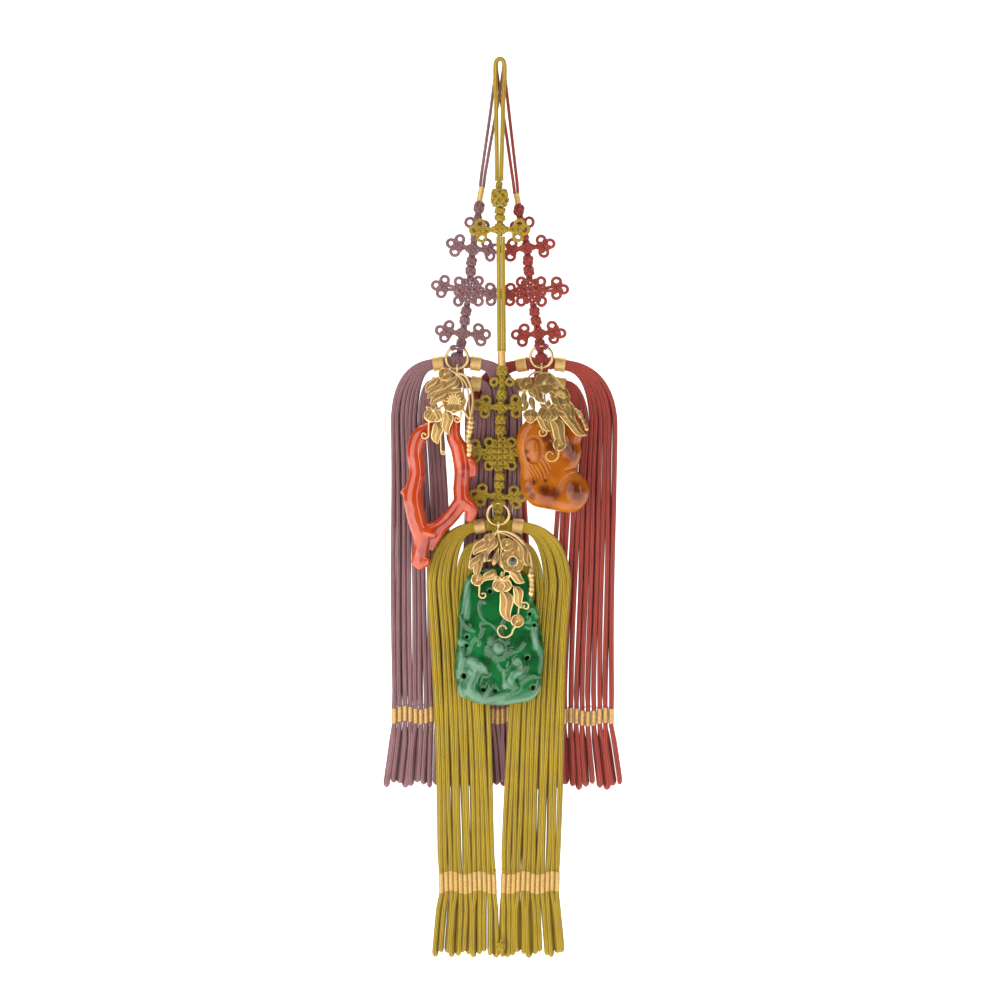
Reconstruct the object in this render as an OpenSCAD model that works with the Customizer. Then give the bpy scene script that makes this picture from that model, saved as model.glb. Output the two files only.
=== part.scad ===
// Three-strand norigae, hanging: cord loops, knot columns, gold rings, three pendants and three tassels.
// The origin is the inside of the top of the hanging loops. +Z is up, and -Y is the front.

/* [Cord] */
// Diameter of the braided cord of the knots, loops and tassels
cord_d = 1.9; // [1.6:0.1:2.0]
// Diameter of the thinner hanging loops of the two side strands
thin_cord_d = 1.4; // [1.0:0.1:1.5]
// Diameter of the cord that forms the small loops round each knot
knot_loop_cord_d = 1.4; // [1.0:0.1:1.6]
// Radius of the centre line of such a small loop
knot_loop_r = 1.35; // [1.1:0.05:1.5]

/* [Depth] */
// Depth of the olive strand's middle plane
olive_y = -3.0; // [-3.4:0.1:-2.8]
// Depth of the purple strand's middle plane
purple_y = 1.7; // [1.6:0.1:2.0]
// Depth of the red strand's middle plane
red_y = 3.6; // [3.5:0.1:3.8]
// Depth of the red legs that fall behind the purple ones
red_back_y = 6.5; // [6.3:0.1:7.0]

/* [Rings] */
// Outer diameter of a gold ring
ring_d = 10.9; // [10:0.1:12]
// Diameter of the ring's wire
ring_wire_d = 1.3; // [1.1:0.1:1.4]
// Distance of a ring's plane in front of its tassel head
ring_forward = 4.5; // [4.4:0.1:5.0]
// Running gap between a ring and what is looped round it
ring_gap = 0.25; // [0.2:0.05:0.3]

/* [Tassels] */
// Number of legs on each side of a tassel
side_legs = 12; // [10:2:14]
// Width of one leg, which is two strands one behind the other
leg_w = 1.8; // [1.6:0.1:1.9]
// Depth of one leg
leg_depth = 4.0; // [3.6:0.1:4.2]
// Height of a cord bundle where it leaves the tassel's head
bundle_h = 5.6; // [5:0.2:6]
// Depth of a cord bundle
bundle_depth = 4.2; // [3.8:0.1:4.4]
// Distance between the upper and the lower bundle of a head
bundle_drop = 9.0; // [8:0.5:10]
// Angle at which the bundles slope down from the head
bundle_slope = 8; // [0:1:12]
// Distance from the head's middle to the middle of a bundle's gold wrap
wrap_out = 8.4; // [8:0.1:9]
// Length of a bundle's gold wrap
wrap_len = 5.0; // [4:0.5:6]
// Thickness of the gold thread round cords
thread_t = 0.4; // [0.3:0.05:0.5]

/* [Stones] */
// Depth of the coral branch's middle plane
coral_y = -9.2; // [-9.6:0.1:-9.0]
// Depth of the amber's middle plane
amber_y = -10.2; // [-10.6:0.1:-10.1]
// Depth of the jade's middle plane
jade_y = -9.1; // [-9.6:0.1:-9.0]
// Thickness of the jade without its relief
jade_t = 7.4; // [6:0.2:8]
// Thickness of the amber
amber_t = 9.6; // [9:0.2:9.8]

/* [Hidden] */

// Small gap that keeps neighbouring pieces apart
gap = 0.2;
purple_colour = [0.52, 0.42, 0.46];
olive_colour = [0.66, 0.56, 0.17];
red_colour = [0.66, 0.28, 0.25];
thread_colour = [0.85, 0.70, 0.40];
gold_colour = [0.85, 0.71, 0.42];

// Centre of each ring in x and z, and the depth of the tassel head behind it
purple_ring_at = [-19.1, -132.2];
red_ring_at = [18.4, -131.6];
olive_ring_at = [-0.8, -201.5];
ring_r = (ring_d - ring_wire_d) / 2;
wire_r = ring_wire_d / 2;

// Sweeping a cross-section along a route

// Direction of a route at point i
function along(route, i) =
    let (a = route[max(i - 1, 0)], b = route[min(i + 1, len(route) - 1)]) (b - a) / norm(b - a);

// Sideways direction at point i, which stays in the xz plane
function aside(route, i) = let (t = along(route, i), s = [t.z, 0, -t.x]) s / norm(s);

// A value at point i of n, read from a list of values that is spread evenly over the route
function spread(list, i, n) =
    let (u = i * (len(list) - 1) / (n - 1), k = floor(u), next = min(k + 1, len(list) - 1))
    list[k] + (list[next] - list[k]) * (u - k);

// Solid swept along a route: half_w is its half-width in the xz plane and half_d its half-depth,
// each a list that is spread evenly over the route
module sweep(route, half_w, half_d, sides) {
    n = len(route);
    points = [
        for (i = [0 : n - 1], j = [0 : sides - 1])
        let (a = 360 * (j + 0.5) / sides)
        route[i] + aside(route, i) * spread(half_w, i, n) * cos(a) + [0, spread(half_d, i, n) * sin(a), 0]];
    walls = [
        for (i = [0 : n - 2], j = [0 : sides - 1])
        let (k = (j + 1) % sides)
        [i * sides + j, (i + 1) * sides + j, (i + 1) * sides + k, i * sides + k]];
    start_cap = [for (j = [0 : sides - 1]) j];
    end_cap = [for (j = [sides - 1 : -1 : 0]) (n - 1) * sides + j];
    polyhedron(points, concat(walls, [start_cap, end_cap]), convexity = 6);
}

// Points of a cubic curve with n steps, from a to d, that starts towards b and arrives from c
function curve(a, b, c, d, n) = [
    for (i = [0 : n]) let (t = i / n, s = 1 - t)
    s * s * s * a + 3 * s * s * t * b + 3 * s * t * t * c + t * t * t * d];

// Hanging loops

// Routes of the hanging loops from one end over the top to the other
olive_loop_route = [
    [-1.4, -2.6, -53.6], [-1.4, -2.5, -50], [-1.4, -2.2, -45], [-1.5, -1.9, -38], [-1.6, -1.5, -31],
    [-1.7, -1.1, -24], [-1.8, -0.7, -17], [-2.0, -0.3, -10], [-2.1, -0.1, -6], [-2.1, 0, -3],
    [-1.9, 0, -0.9], [-1.2, 0, 0.5], [0, 0, 1.0], [1.2, 0, 0.5], [1.9, 0, -0.9], [2.1, 0, -3],
    [2.1, -0.1, -6], [1.9, -0.3, -10], [1.5, -0.7, -17], [1.3, -1.1, -24], [1.1, -1.5, -31],
    [0.9, -1.9, -38], [0.7, -2.2, -45], [0.6, -2.5, -50], [0.6, -2.6, -53.6]];
purple_loop_route = [
    [-8.8, 1.7, -56.2], [-8.3, 1.8, -51], [-7.3, 1.9, -44], [-6.3, 2.0, -37], [-5.3, 2.0, -30],
    [-4.3, 2.0, -23], [-3.4, 2.0, -16], [-2.5, 2.0, -9], [-1.9, 2.0, -4], [-1.7, 2.0, -1.6],
    [-1.2, 2.0, 0.2], [0, 2.0, 0.8], [1.2, 2.0, 0.2], [1.6, 2.0, -1.6], [1.4, 2.0, -4],
    [0.7, 2.0, -9], [-0.4, 2.0, -16], [-1.7, 2.0, -23], [-3.0, 2.0, -30], [-4.3, 2.0, -37],
    [-5.5, 1.9, -44], [-6.7, 1.8, -51], [-7.3, 1.7, -56.2]];
red_loop_route = [
    [6.5, 3.6, -59.0], [5.9, 3.6, -54], [4.9, 3.6, -47], [3.9, 3.7, -40], [2.9, 3.7, -33],
    [1.8, 3.7, -26], [0.7, 3.7, -19], [-0.4, 3.7, -12], [-1.2, 3.7, -6], [-1.6, 3.7, -2.2],
    [-1.2, 3.7, 0.2], [0, 3.7, 0.8], [1.2, 3.7, 0.2], [1.7, 3.7, -2.2], [2.1, 3.7, -6],
    [2.8, 3.7, -12], [3.6, 3.7, -19], [4.4, 3.7, -26], [5.2, 3.7, -33], [6.0, 3.7, -40],
    [6.8, 3.6, -47], [7.6, 3.6, -54], [8.0, 3.6, -59.0]];

// Knots

// Torus in the xz plane
module loop_xz(p, major, minor) {
    translate(p) rotate([90, 0, 0])
        rotate_extrude($fn = 48) translate([major, 0]) circle(r = minor, $fn = 24);
}

// Round cord between two points
module bar(a, b, r) {
    v = b - a;
    translate(a) rotate([0, acos(v.z / norm(v)), atan2(v.y, v.x)]) cylinder(h = norm(v), r = r, $fn = 32);
}

// How deep a knot's loops sink into its ball
loop_sink = 0.35;

// Small ball knot with a loop at each of the given angles, in which 0 is right and 90 is up
module cluster(p, ball_r, angles) {
    translate(p) sphere(r = ball_r, $fn = 40);
    out = ball_r + knot_loop_r - loop_sink;
    for (a = angles) loop_xz(p + out * [cos(a), 0, sin(a)], knot_loop_r, knot_loop_cord_d / 2);
}

// Side clusters, each a ball with loops that a cord joins to the knot's centre.
// Each row of the table is: x, z, loop angles
cluster_ball_r = 2.0;
cluster_cord_r = 1.1;
module side_clusters(centre, clusters) {
    for (row = clusters) {
        p = [row[0], centre.y, row[1]];
        bar(centre, p, cluster_cord_r);
        cluster(p, cluster_ball_r, row[2]);
    }
}

// Row knot: a ball in the middle with its side clusters
module row_knot(centre, ball_r, clusters) {
    translate(centre) sphere(r = ball_r, $fn = 48);
    side_clusters(centre, clusters);
}

// Woven diamond knot: a square plate on its corner, with side clusters and a loop at each side.
// Each row of the loops is: x, z
diamond_t = 3.6;
module diamond_knot(centre, half_diagonal, lean, loops, clusters) {
    side = half_diagonal * sqrt(2);
    translate(centre) rotate([0, lean + 45, 0]) cube([side, diamond_t, side], center = true);
    for (row = loops) loop_xz([row[0], centre.y, row[1]], knot_loop_r, knot_loop_cord_d / 2);
    side_clusters(centre, clusters);
}

// Barrel knot between two points: a turned form with a bulge for each round of cord
groove = 0.5;
module barrel(a, b, r, rounds) {
    v = b - a;
    h = norm(v);
    step = h / rounds;
    translate(a) rotate([0, acos(v.z / h), atan2(v.y, v.x)])
        rotate_extrude($fn = 40) polygon(concat(
            [[0, 0]],
            [for (i = [0 : rounds - 1], q = [[0, groove], [0.25, 0], [0.75, 0]])
                [r - q[1], (i + q[0]) * step]],
            [[r - groove, h], [0, h]]));
}

// Rings and ties

// Gold ring in the xz plane
module gold_ring(at, y) {
    color(gold_colour) loop_xz([at.x, y, at.y], ring_r, wire_r);
}

// Two thread lashes that hold a ring near its top, each a loop round the wire.
// The thread's radius, and the angle of each lash from the ring's top
tie_r = 0.35;
tie_angle = 22;
module ring_tie(at, y, colour) {
    color(colour) for (s = [-1, 1])
        translate([at.x, y, at.y]) rotate([0, s * tie_angle, 0]) translate([0, 0, ring_r])
            rotate([0, 90, 0]) rotate_extrude($fn = 32)
                translate([wire_r + ring_gap + tie_r, 0]) circle(r = tie_r, $fn = 16);
}

// Tassels

// Where each tassel's parts lie: the head's middle and depth, the depth of the legs on each side,
// how far they reach out, and the height of their ends
TASSEL_COLUMNS = ["x", "z", "head_y", "left_y", "right_y", "left_reach", "right_reach", "end_z"];
purple_form = [-19.1, -133.4, purple_y, purple_y, purple_y, 29.6, 29.0, -322];
red_form = [18.4, -133.8, red_y, red_back_y, red_y, 33.6, 33.6, -323];
olive_form = [-0.6, -205.8, olive_y, olive_y, olive_y, 31.4, 32.0, -397];
function form_value(form, name) = form[search([name], TASSEL_COLUMNS)[0]];

// How far a bundle runs out from the middle of the head
bundle_out = wrap_out + wrap_len / 2;

// Point of a bundle at a distance out from the middle of the head, on side -1 (left) or 1 (right).
// A bundle slopes down, and runs back to the depth of the legs on its side
function side_value(form, side, what) = form_value(form, str(side < 0 ? "left_" : "right_", what));
function bundle_point(form, side, lower, out) =
    let (y = form_value(form, "head_y"))
    [form_value(form, "x") + side * out,
     y + (side_value(form, side, "y") - y) * min(1, out / bundle_out),
     form_value(form, "z") - (lower ? bundle_drop : 0) - out * tan(bundle_slope)];

// Route of leg i, counted from the outermost
bundle_legs = side_legs / 2;
arc_steps = 4;
leg_start = bundle_out + 0.3;
leg_start_spread = bundle_h / 2 - 1.1;
function leg_route(form, side, i) =
    let (
        x = form_value(form, "x"),
        reach = side_value(form, side, "reach"),
        y = side_value(form, side, "y"),
        lower = i >= bundle_legs,
        k = lower ? i - bundle_legs : i,
        start = bundle_point(form, side, lower, leg_start)
            + [0, 0, leg_start_spread * (1 - 2 * k / (bundle_legs - 1))],
        out = reach - (i + 0.5) * reach / side_legs,
        fall = 18 + 11 * out / reach,
        end_z = form_value(form, "end_z") + 1.3 * sin(97 * i + 50 * side),
        overshoot = max(4.2, 0.62 * (out - bundle_out)),
        arc = curve(
            start,
            [start.x + side * overshoot, y, start.z - overshoot * tan(bundle_slope)],
            [x + side * out, y, start.z - 0.4 * fall],
            [x + side * out, y, start.z - fall], arc_steps),
        arc_z = arc[arc_steps].z,
        // The legs draw together a little in the middle of their fall
        waist = 0.035)
    concat(arc, [for (u = [0.5, 1])
        [x + side * out * (1 - waist * sin(180 * min(u * 1.1, 1))), y, arc_z - u * (arc_z - end_z)]]);

// Half-widths of a leg at the points of its route: squeezed where it leaves the bundle
leg_half_w = leg_w / 2 * [0.34, 0.66, 0.95, 1, 1, 1, 1];

// Tassel: the legs, fused to a head of bundles that meet behind an upright core
core_d = 5.6;
core_rise = 1.5;
core_fall = 1.0;
module tassel(form, colour) {
    x = form_value(form, "x");
    y = form_value(form, "head_y");
    z = form_value(form, "z");
    color(colour) {
        for (side = [-1, 1]) {
            for (i = [0 : side_legs - 1])
                sweep(leg_route(form, side, i), leg_half_w, [leg_depth / 2], 6);
            for (lower = [false, true]) {
                for (out = [0, bundle_out / 2]) hull() for (q = [out, out + bundle_out / 2])
                    translate(bundle_point(form, side, lower, q)) rotate([0, 90, 0])
                        scale([bundle_h / bundle_depth, 1, 1])
                            cylinder(d = bundle_depth, h = 0.6, center = true, $fn = 8);
            }
        }
        hull() for (dz = [core_rise, -bundle_drop - core_fall])
            translate([x, y, z + dz]) rotate([90, 0, 0])
                cylinder(d = core_d, h = bundle_depth - 0.4, center = true, $fn = 10);
    }
}

// Gold thread round the four bundles of a head
module head_wraps(form) {
    color(thread_colour)
        for (side = [-1, 1], lower = [false, true]) {
            a = bundle_point(form, side, lower, wrap_out);
            v = bundle_point(form, side, lower, bundle_out) - a;
            translate(a) rotate([0, 0, atan2(v.y, v.x)]) rotate([0, acos(v.z / norm(v)), 0])
                linear_extrude(height = wrap_len, center = true) difference() {
                    oval(bundle_h + 2 * (gap + thread_t), bundle_depth + 2 * (gap + thread_t));
                    oval(bundle_h + 2 * gap, bundle_depth + 2 * gap);
                }
        }
}

// Flat-sided oval: a rectangle with a half round at each end
module oval(long, across) {
    square([long - across, across], center = true);
    for (s = [-1, 1]) translate([s * (long - across) / 2, 0]) circle(d = across, $fn = 32);
}

// Gold thread round each leg, low on the tassel
module leg_wraps(form, middle_z, height) {
    color(thread_colour)
        for (side = [-1, 1], i = [0 : side_legs - 1]) {
            route = leg_route(form, side, i);
            z = middle_z + 0.8 * sin(61 * i + 30 * side);
            a = route[arc_steps + 1];
            b = route[arc_steps + 2];
            u = (z - a.z) / (b.z - a.z);
            p = a + (b - a) * u;
            translate([p.x, p.y, z]) rotate([0, atan2(a.x - b.x, a.z - b.z), 0]) rotate([0, 0, 90])
                linear_extrude(height = height, center = true) difference() {
                    oval(leg_depth + 0.5, leg_w + 0.44);
                    oval(leg_depth + 0.1, leg_w + 0.1);
                }
        }
}

// Stones

// A limb: balls of the given radii in a row, each joined to the next.
// Each row of the table is: x, z, radius, and how far in front of the middle plane
module limb(y, rows) {
    for (i = [0 : len(rows) - 2]) hull() for (row = [rows[i], rows[i + 1]])
        translate([row[0], y - row[3], row[1]]) sphere(r = row[2], $fn = 8);
}

// Coral branch: two limbs that part below the cap and meet again round an open hole, and a tail
coral_left = [
    [-31.0, -163.0, 2.8, 0], [-35.5, -167.0, 3.7, 0], [-37.5, -174.0, 3.8, 0], [-36.8, -184.0, 3.7, 0],
    [-38.5, -193.0, 4.3, 0], [-37.6, -200.0, 4.3, 0], [-36.0, -206.5, 4.2, 0], [-34.6, -212.0, 3.9, 0],
    [-35.0, -219.0, 3.2, 0], [-35.3, -223.5, 3.0, 0]];
coral_left_nub = [[-38.6, -191.5, 3.2, 0], [-43.2, -191.8, 1.2, 0]];
coral_tail_heel = [[-34.5, -214.0, 3.4, 0], [-37.5, -222.8, 2.0, 0], [-33.0, -222.5, 2.6, 0]];
coral_right = [
    [-20.3, -160.5, 3.0, 0], [-20.6, -167.0, 3.3, 0], [-17.8, -173.5, 3.8, 0], [-16.6, -182.0, 3.8, 0],
    [-17.2, -189.5, 3.6, 0], [-16.8, -195.5, 3.8, 0]];
coral_right_nub = [[-16.5, -176.0, 3.0, 0], [-12.3, -179.5, 2.2, 0], [-12.0, -183.5, 1.9, 0]];
coral_right_foot = [[-16.8, -195.5, 3.7, 0], [-12.6, -199.0, 3.0, 0], [-13.2, -203.2, 2.2, 0]];
coral_cross = [
    [-16.8, -195.5, 3.5, 0], [-21.8, -202.5, 3.4, 0], [-27.5, -207.5, 3.6, 0], [-35.0, -209.5, 3.6, 0]];
coral_stub = [[-36.5, -208.0, 2.0, 1.6], [-29.5, -210.3, 1.9, 2.4]];
coral_drip = [[-26.6, -208.5, 2.8, 0], [-30.2, -216.8, 1.2, 0]];
module coral_branch() {
    color([0.79, 0.28, 0.17])
        for (rows = [coral_left, coral_left_nub, coral_tail_heel, coral_right, coral_right_nub,
                     coral_right_foot, coral_cross, coral_stub, coral_drip])
            limb(coral_y, rows);
}

// Rounded stone: an outline in x and z, built up in layers.
// Each row of the layer table is: depth, and how far the outline is drawn in towards the centre
module rounded_stone(outline, centre, layers) {
    count = len(outline);
    points = [
        for (layer = layers, p = outline)
        let (v = p - centre)
        [centre.x + v.x * (1 - layer[1] / norm(v)), layer[0], centre.y + v.y * (1 - layer[1] / norm(v))]];
    walls = [
        for (i = [0 : len(layers) - 2], j = [0 : count - 1])
        let (k = (j + 1) % count)
        [i * count + j, i * count + k, (i + 1) * count + k, (i + 1) * count + j]];
    front_cap = [for (j = [count - 1 : -1 : 0]) j];
    back_cap = [for (j = [0 : count - 1]) (len(layers) - 1) * count + j];
    polyhedron(points, concat(walls, [front_cap, back_cap]), convexity = 6);
}

// Layers of a stone of thickness t round depth y, with edges rounded over a width
function stone_layers(y, t, round_w, steps = 2) = [
    for (i = [0 : 2 * steps + 1])
    let (front = i <= steps, q = front ? i : 2 * steps + 1 - i, a = 90 * q / steps)
    [y + (front ? -1 : 1) * (t / 2 - round_w * 0.6 * (1 - cos(a))), round_w * (1 - sin(a))]];

// Amber carving, clockwise from the top left
amber_outline = [
    [9.6, -162.5], [7.6, -166.5], [7.3, -172.0], [8.4, -177.5], [9.2, -181.0], [8.8, -184.5], [9.4, -190.5],
    [11.5, -194.8], [15.0, -198.0], [20.0, -199.2], [25.5, -200.2], [30.0, -201.0], [34.5, -200.0],
    [38.0, -196.6], [39.4, -192.0], [38.4, -187.0], [35.6, -184.0], [34.0, -182.0], [35.4, -177.5],
    [36.0, -174.0], [35.6, -170.5], [36.4, -166.5], [36.0, -162.0], [32.5, -158.6], [26.0, -157.2],
    [19.0, -157.0], [13.5, -158.6]];
amber_centre = [22.5, -178.5];
module amber() {
    color([0.78, 0.45, 0.12]) {
        rounded_stone(amber_outline, amber_centre, stone_layers(amber_y, amber_t, 4.4));
        // Curled form at the lower right
        for (a = [0 : 45 : 315]) hull() for (b = [a, a + 45])
            translate([31.8 + 4.0 * cos(b), amber_y - amber_t / 2 + 1.2, -192.6 + 4.0 * sin(b)])
                sphere(r = 2.4, $fn = 8);
        // Rounded haunch at the lower left, and the oval boss above it
        hull() for (p = [[15, -190.5, 4.6], [21, -193.2, 4.0]])
            translate([p.x, amber_y - amber_t / 2 + p.z - 1.2, p.y]) sphere(r = p.z, $fn = 9);
        hull() for (p = [[12.8, -168.5, 3.0], [13.6, -174.5, 3.4]])
            translate([p.x, amber_y - amber_t / 2 + p.z - 0.4, p.y]) sphere(r = p.z, $fn = 9);
        hull() for (p = [[27, -166, 5.0], [29, -174, 4.4]])
            translate([p.x, amber_y - amber_t / 2 + p.z - 1.0, p.y]) sphere(r = p.z, $fn = 9);
    }
}

// Jade plaque, clockwise from the top left
jade_outline = [
    [-12.0, -227.0], [-15.6, -231.5], [-17.2, -236.0], [-18.2, -242.8], [-18.8, -247.5], [-19.0, -253.4],
    [-19.4, -259.8], [-20.0, -266.0], [-20.4, -270.5], [-19.8, -274.6], [-18.4, -278.8], [-16.4, -282.0],
    [-13.4, -284.2], [-8.8, -285.6], [-3.8, -286.0], [2.6, -286.2], [5.0, -284.8], [8.6, -285.0],
    [12.0, -284.8], [15.0, -283.2], [16.8, -280.2], [18.4, -277.6], [18.6, -273.4], [19.4, -268.0],
    [19.8, -263.0], [19.0, -257.6], [17.8, -250.8], [17.4, -247.4], [16.4, -243.2], [14.8, -240.7],
    [14.8, -237.6], [13.0, -230.2], [10.8, -227.3], [6.0, -225.4], [-1.8, -224.7]];
jade_centre = [-0.4, -256];
// Holes cut through the jade: x, z, radius
jade_holes = [
    [-4.4, -235.6, 0.9], [-14.6, -255.8, 0.8], [-14.8, -259.6, 0.8], [-16.0, -273.0, 1.2],
    [-7.4, -279.2, 0.9], [-2.0, -279.8, 0.9], [13.2, -245.6, 0.8], [15.2, -250.6, 0.8],
    [12.0, -265.0, 0.9], [14.6, -278.3, 1.0]];
// Raised forms on the jade. Each row of a curl or the leaf is: x, z, radius of the ball there
jade_blossom = [-0.1, -261.0];
jade_curls = [
    [[-14.2, -266.0, 2.0], [-11.0, -262.8, 2.2], [-7.4, -264.2, 2.4], [-6.2, -268.4, 2.4],
     [-9.0, -271.6, 2.2], [-12.6, -271.4, 1.8]],
    [[10.4, -262.4, 1.8], [12.8, -266.6, 2.2], [11.4, -271.2, 2.4], [7.0, -272.6, 2.4],
     [4.4, -269.4, 1.8], [7.0, -267.4, 1.4]],
    [[-15.4, -277.6, 1.6], [-10.2, -281.8, 1.9], [-3.2, -283.0, 1.9], [4.0, -281.6, 1.9],
     [10.4, -280.2, 1.8], [15.0, -275.4, 1.5]],
    [[-9.6, -241.0, 1.0], [-10.6, -246.6, 1.1], [-9.8, -252.4, 1.2], [-12.6, -256.0, 1.2]],
    [[2.6, -240.2, 0.9], [3.8, -247.0, 1.0], [1.6, -253.0, 1.0], [0.4, -257.0, 1.0]],
    [[9.4, -249.0, 1.2], [12.4, -254.6, 1.6], [8.6, -257.8, 1.3]]];
jade_leaf = [[-15.2, -236.6, 0.8], [-10.4, -239.0, 2.4], [-5.4, -243.4, 0.9]];
module jade() {
    front = jade_y - jade_t / 2;
    color([0.16, 0.50, 0.30]) difference() {
        union() {
            rounded_stone(jade_outline, jade_centre, stone_layers(jade_y, jade_t, 2.2));
            for (curl = jade_curls) for (i = [0 : len(curl) - 2]) hull() for (p = [curl[i], curl[i + 1]])
                translate([p.x, front + 0.45 * p.z, p.y]) sphere(r = p.z, $fn = 6);
            hull() for (p = jade_leaf) translate([p.x, front + 0.7 * p.z, p.y]) sphere(r = p.z, $fn = 7);
            for (a = [18 : 72 : 306])
                translate([jade_blossom.x + 2.6 * cos(a), front + 0.4, jade_blossom.y + 2.6 * sin(a)])
                    sphere(r = 1.7, $fn = 8);
            translate([jade_blossom.x, front + 0.2, jade_blossom.y]) sphere(r = 1.5, $fn = 8);
        }
        for (hole = jade_holes) translate([hole.x, 0, hole.y]) rotate([90, 0, 0])
            cylinder(r = hole.z, h = 60, center = true, $fn = 8);
    }
}

// Cast gold caps

// A cap's relief lies on a slope that runs forward from its hook to the front of its stone.
// A slope is: upper height, depth there, lower height, depth there
coral_slope = [-138, -5.6, -157, coral_y - 4.5];
amber_slope = [-138, -4.2, -158.5, amber_y - amber_t / 2 - 2.3];
jade_slope = [-208, -9.6, -228, jade_y - jade_t / 2 - 2.7];
function slope_y(slope, z) =
    let (u = min(1, max(0, (z - slope[0]) / (slope[2] - slope[0])))) slope[1] + u * (slope[3] - slope[1]);
function on_slope(slope, p, back = 0) = [p.x, slope_y(slope, p.y) + back, p.y];

// Flat shape that faces the front, h thick, with its front face at depth p.y
module plate(p, h) {
    translate([p.x, p.y + h, p.z]) rotate([90, 0, 0]) linear_extrude(height = h) children();
}

// Blossom: a scalloped plate with a domed middle
module blossom(slope, at, r, petals = 5, turn = 90) {
    step = 360 / petals;
    plate(on_slope(slope, at, -0.3), 1.0) polygon([
        for (i = [0 : petals - 1], q = [[-0.5, 0.62], [-0.28, 0.96], [0.28, 0.96]])
        let (a = turn + (i + q[0]) * step) q[1] * r * [cos(a), sin(a)]]);
    plate(on_slope(slope, at, -0.8), 0.8) circle(r = 0.3 * r, $fn = 6);
}

// Low roof over an outline of four points, from depth back to a ridge at its middle
module roof(slope, points, middle, rise) {
    n = len(points);
    polyhedron(
        concat(
            [for (p = points) on_slope(slope, p, 0.5)],
            [for (p = points) on_slope(slope, p, 0)],
            [on_slope(slope, middle, 0.5), on_slope(slope, middle, -rise)]),
        concat(
            [for (i = [0 : n - 1]) let (k = (i + 1) % n) [i, k, n + k, n + i]],
            [for (i = [0 : n - 1]) let (k = (i + 1) % n) [2 * n + 1, n + i, n + k]],
            [for (i = [0 : n - 1]) let (k = (i + 1) % n) [2 * n, k, i]]),
        convexity = 4);
}

// Leaf between two points, widest before its middle, with a raised midrib
module leaf(slope, a, b, w) {
    d = (b - a) / norm(b - a);
    m = a + (b - a) * 0.4;
    side = [-d.y, d.x] * w / 2;
    tip = b + side * 0.12;
    roof(slope, [a, m + side, tip, b - side * 0.12, m - side], m, 0.45);
}

// Pod: a drop shape, round at its far end
module pod(slope, a, b, r) {
    d = (b - a) / norm(b - a);
    side = [-d.y, d.x] * r;
    m = b - d * r;
    roof(slope, [a, m + side, b + side * 0.4, b - side * 0.4, m - side], m - d * 0.3, 0.8);
}

// Orchid: a broad lip under three narrow sepals
module orchid(slope, at, w, h) {
    plate(on_slope(slope, at, -0.3), 1.0) polygon([
        for (q = [[-0.5, 0.1], [-0.34, -0.4], [0, -0.52], [0.34, -0.4], [0.5, 0.1], [0.2, 0.3], [0.46, 0.62],
                  [0.1, 0.5], [0, 0.86], [-0.1, 0.5], [-0.46, 0.62], [-0.2, 0.3]])
        [q.x * w, q.y * h]]);
    plate(on_slope(slope, at + [0, h * 0.3], -0.9), 0.8) circle(r = h * 0.17, $fn = 5);
}

// Wire of the cap, through points in x and z, just behind the relief
module vine(slope, route, r0, r1, back = 0.7) {
    sweep([for (p = route) on_slope(slope, p, back)], [r0, r1], [r0, r1], 4);
}

// Tendril: a thin wire that ends in a spiral; turn is positive anticlockwise
module tendril(slope, from, centre, r, start, turn) {
    coil = [
        for (i = [0 : 5])
        let (u = i / 5, a = start + turn * u, q = r * (1 - 0.6 * u))
        centre + q * [cos(a), sin(a)]];
    sweep([for (p = concat([from], coil)) on_slope(slope, p, 0.3)], [0.42, 0.3], [0.42, 0.3], 4);
}

// Hook round the bottom of a ring, free to turn on its wire, with the wire that leads from it to the relief
hook_r = 0.5;
hook_slack = 0.08;
hook_major = wire_r + ring_gap + hook_slack + hook_r;
module hook(ring_at, ring_y, slope) {
    low = [ring_at.x, ring_y, ring_at.y - ring_r];
    translate(low) rotate([0, 90, 0])
        rotate_extrude($fn = 14) translate([hook_major, 0]) circle(r = hook_r, $fn = 5);
    foot = [low.x, low.z - hook_major - 1.2];
    hull() {
        translate(low + [0, -hook_major * 0.7, -hook_major * 0.7]) sphere(r = hook_r, $fn = 5);
        translate(on_slope(slope, foot, 0.6)) sphere(r = hook_r, $fn = 5);
    }
}

// Knobbly twig: a thick wire of changing radius; each row of the table is: x, z, radius
module twig(slope, rows, back) {
    radii = [for (row = rows) row[2]];
    sweep([for (row = rows) on_slope(slope, [row[0], row[1]], back)], radii, radii, 5);
}

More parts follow.
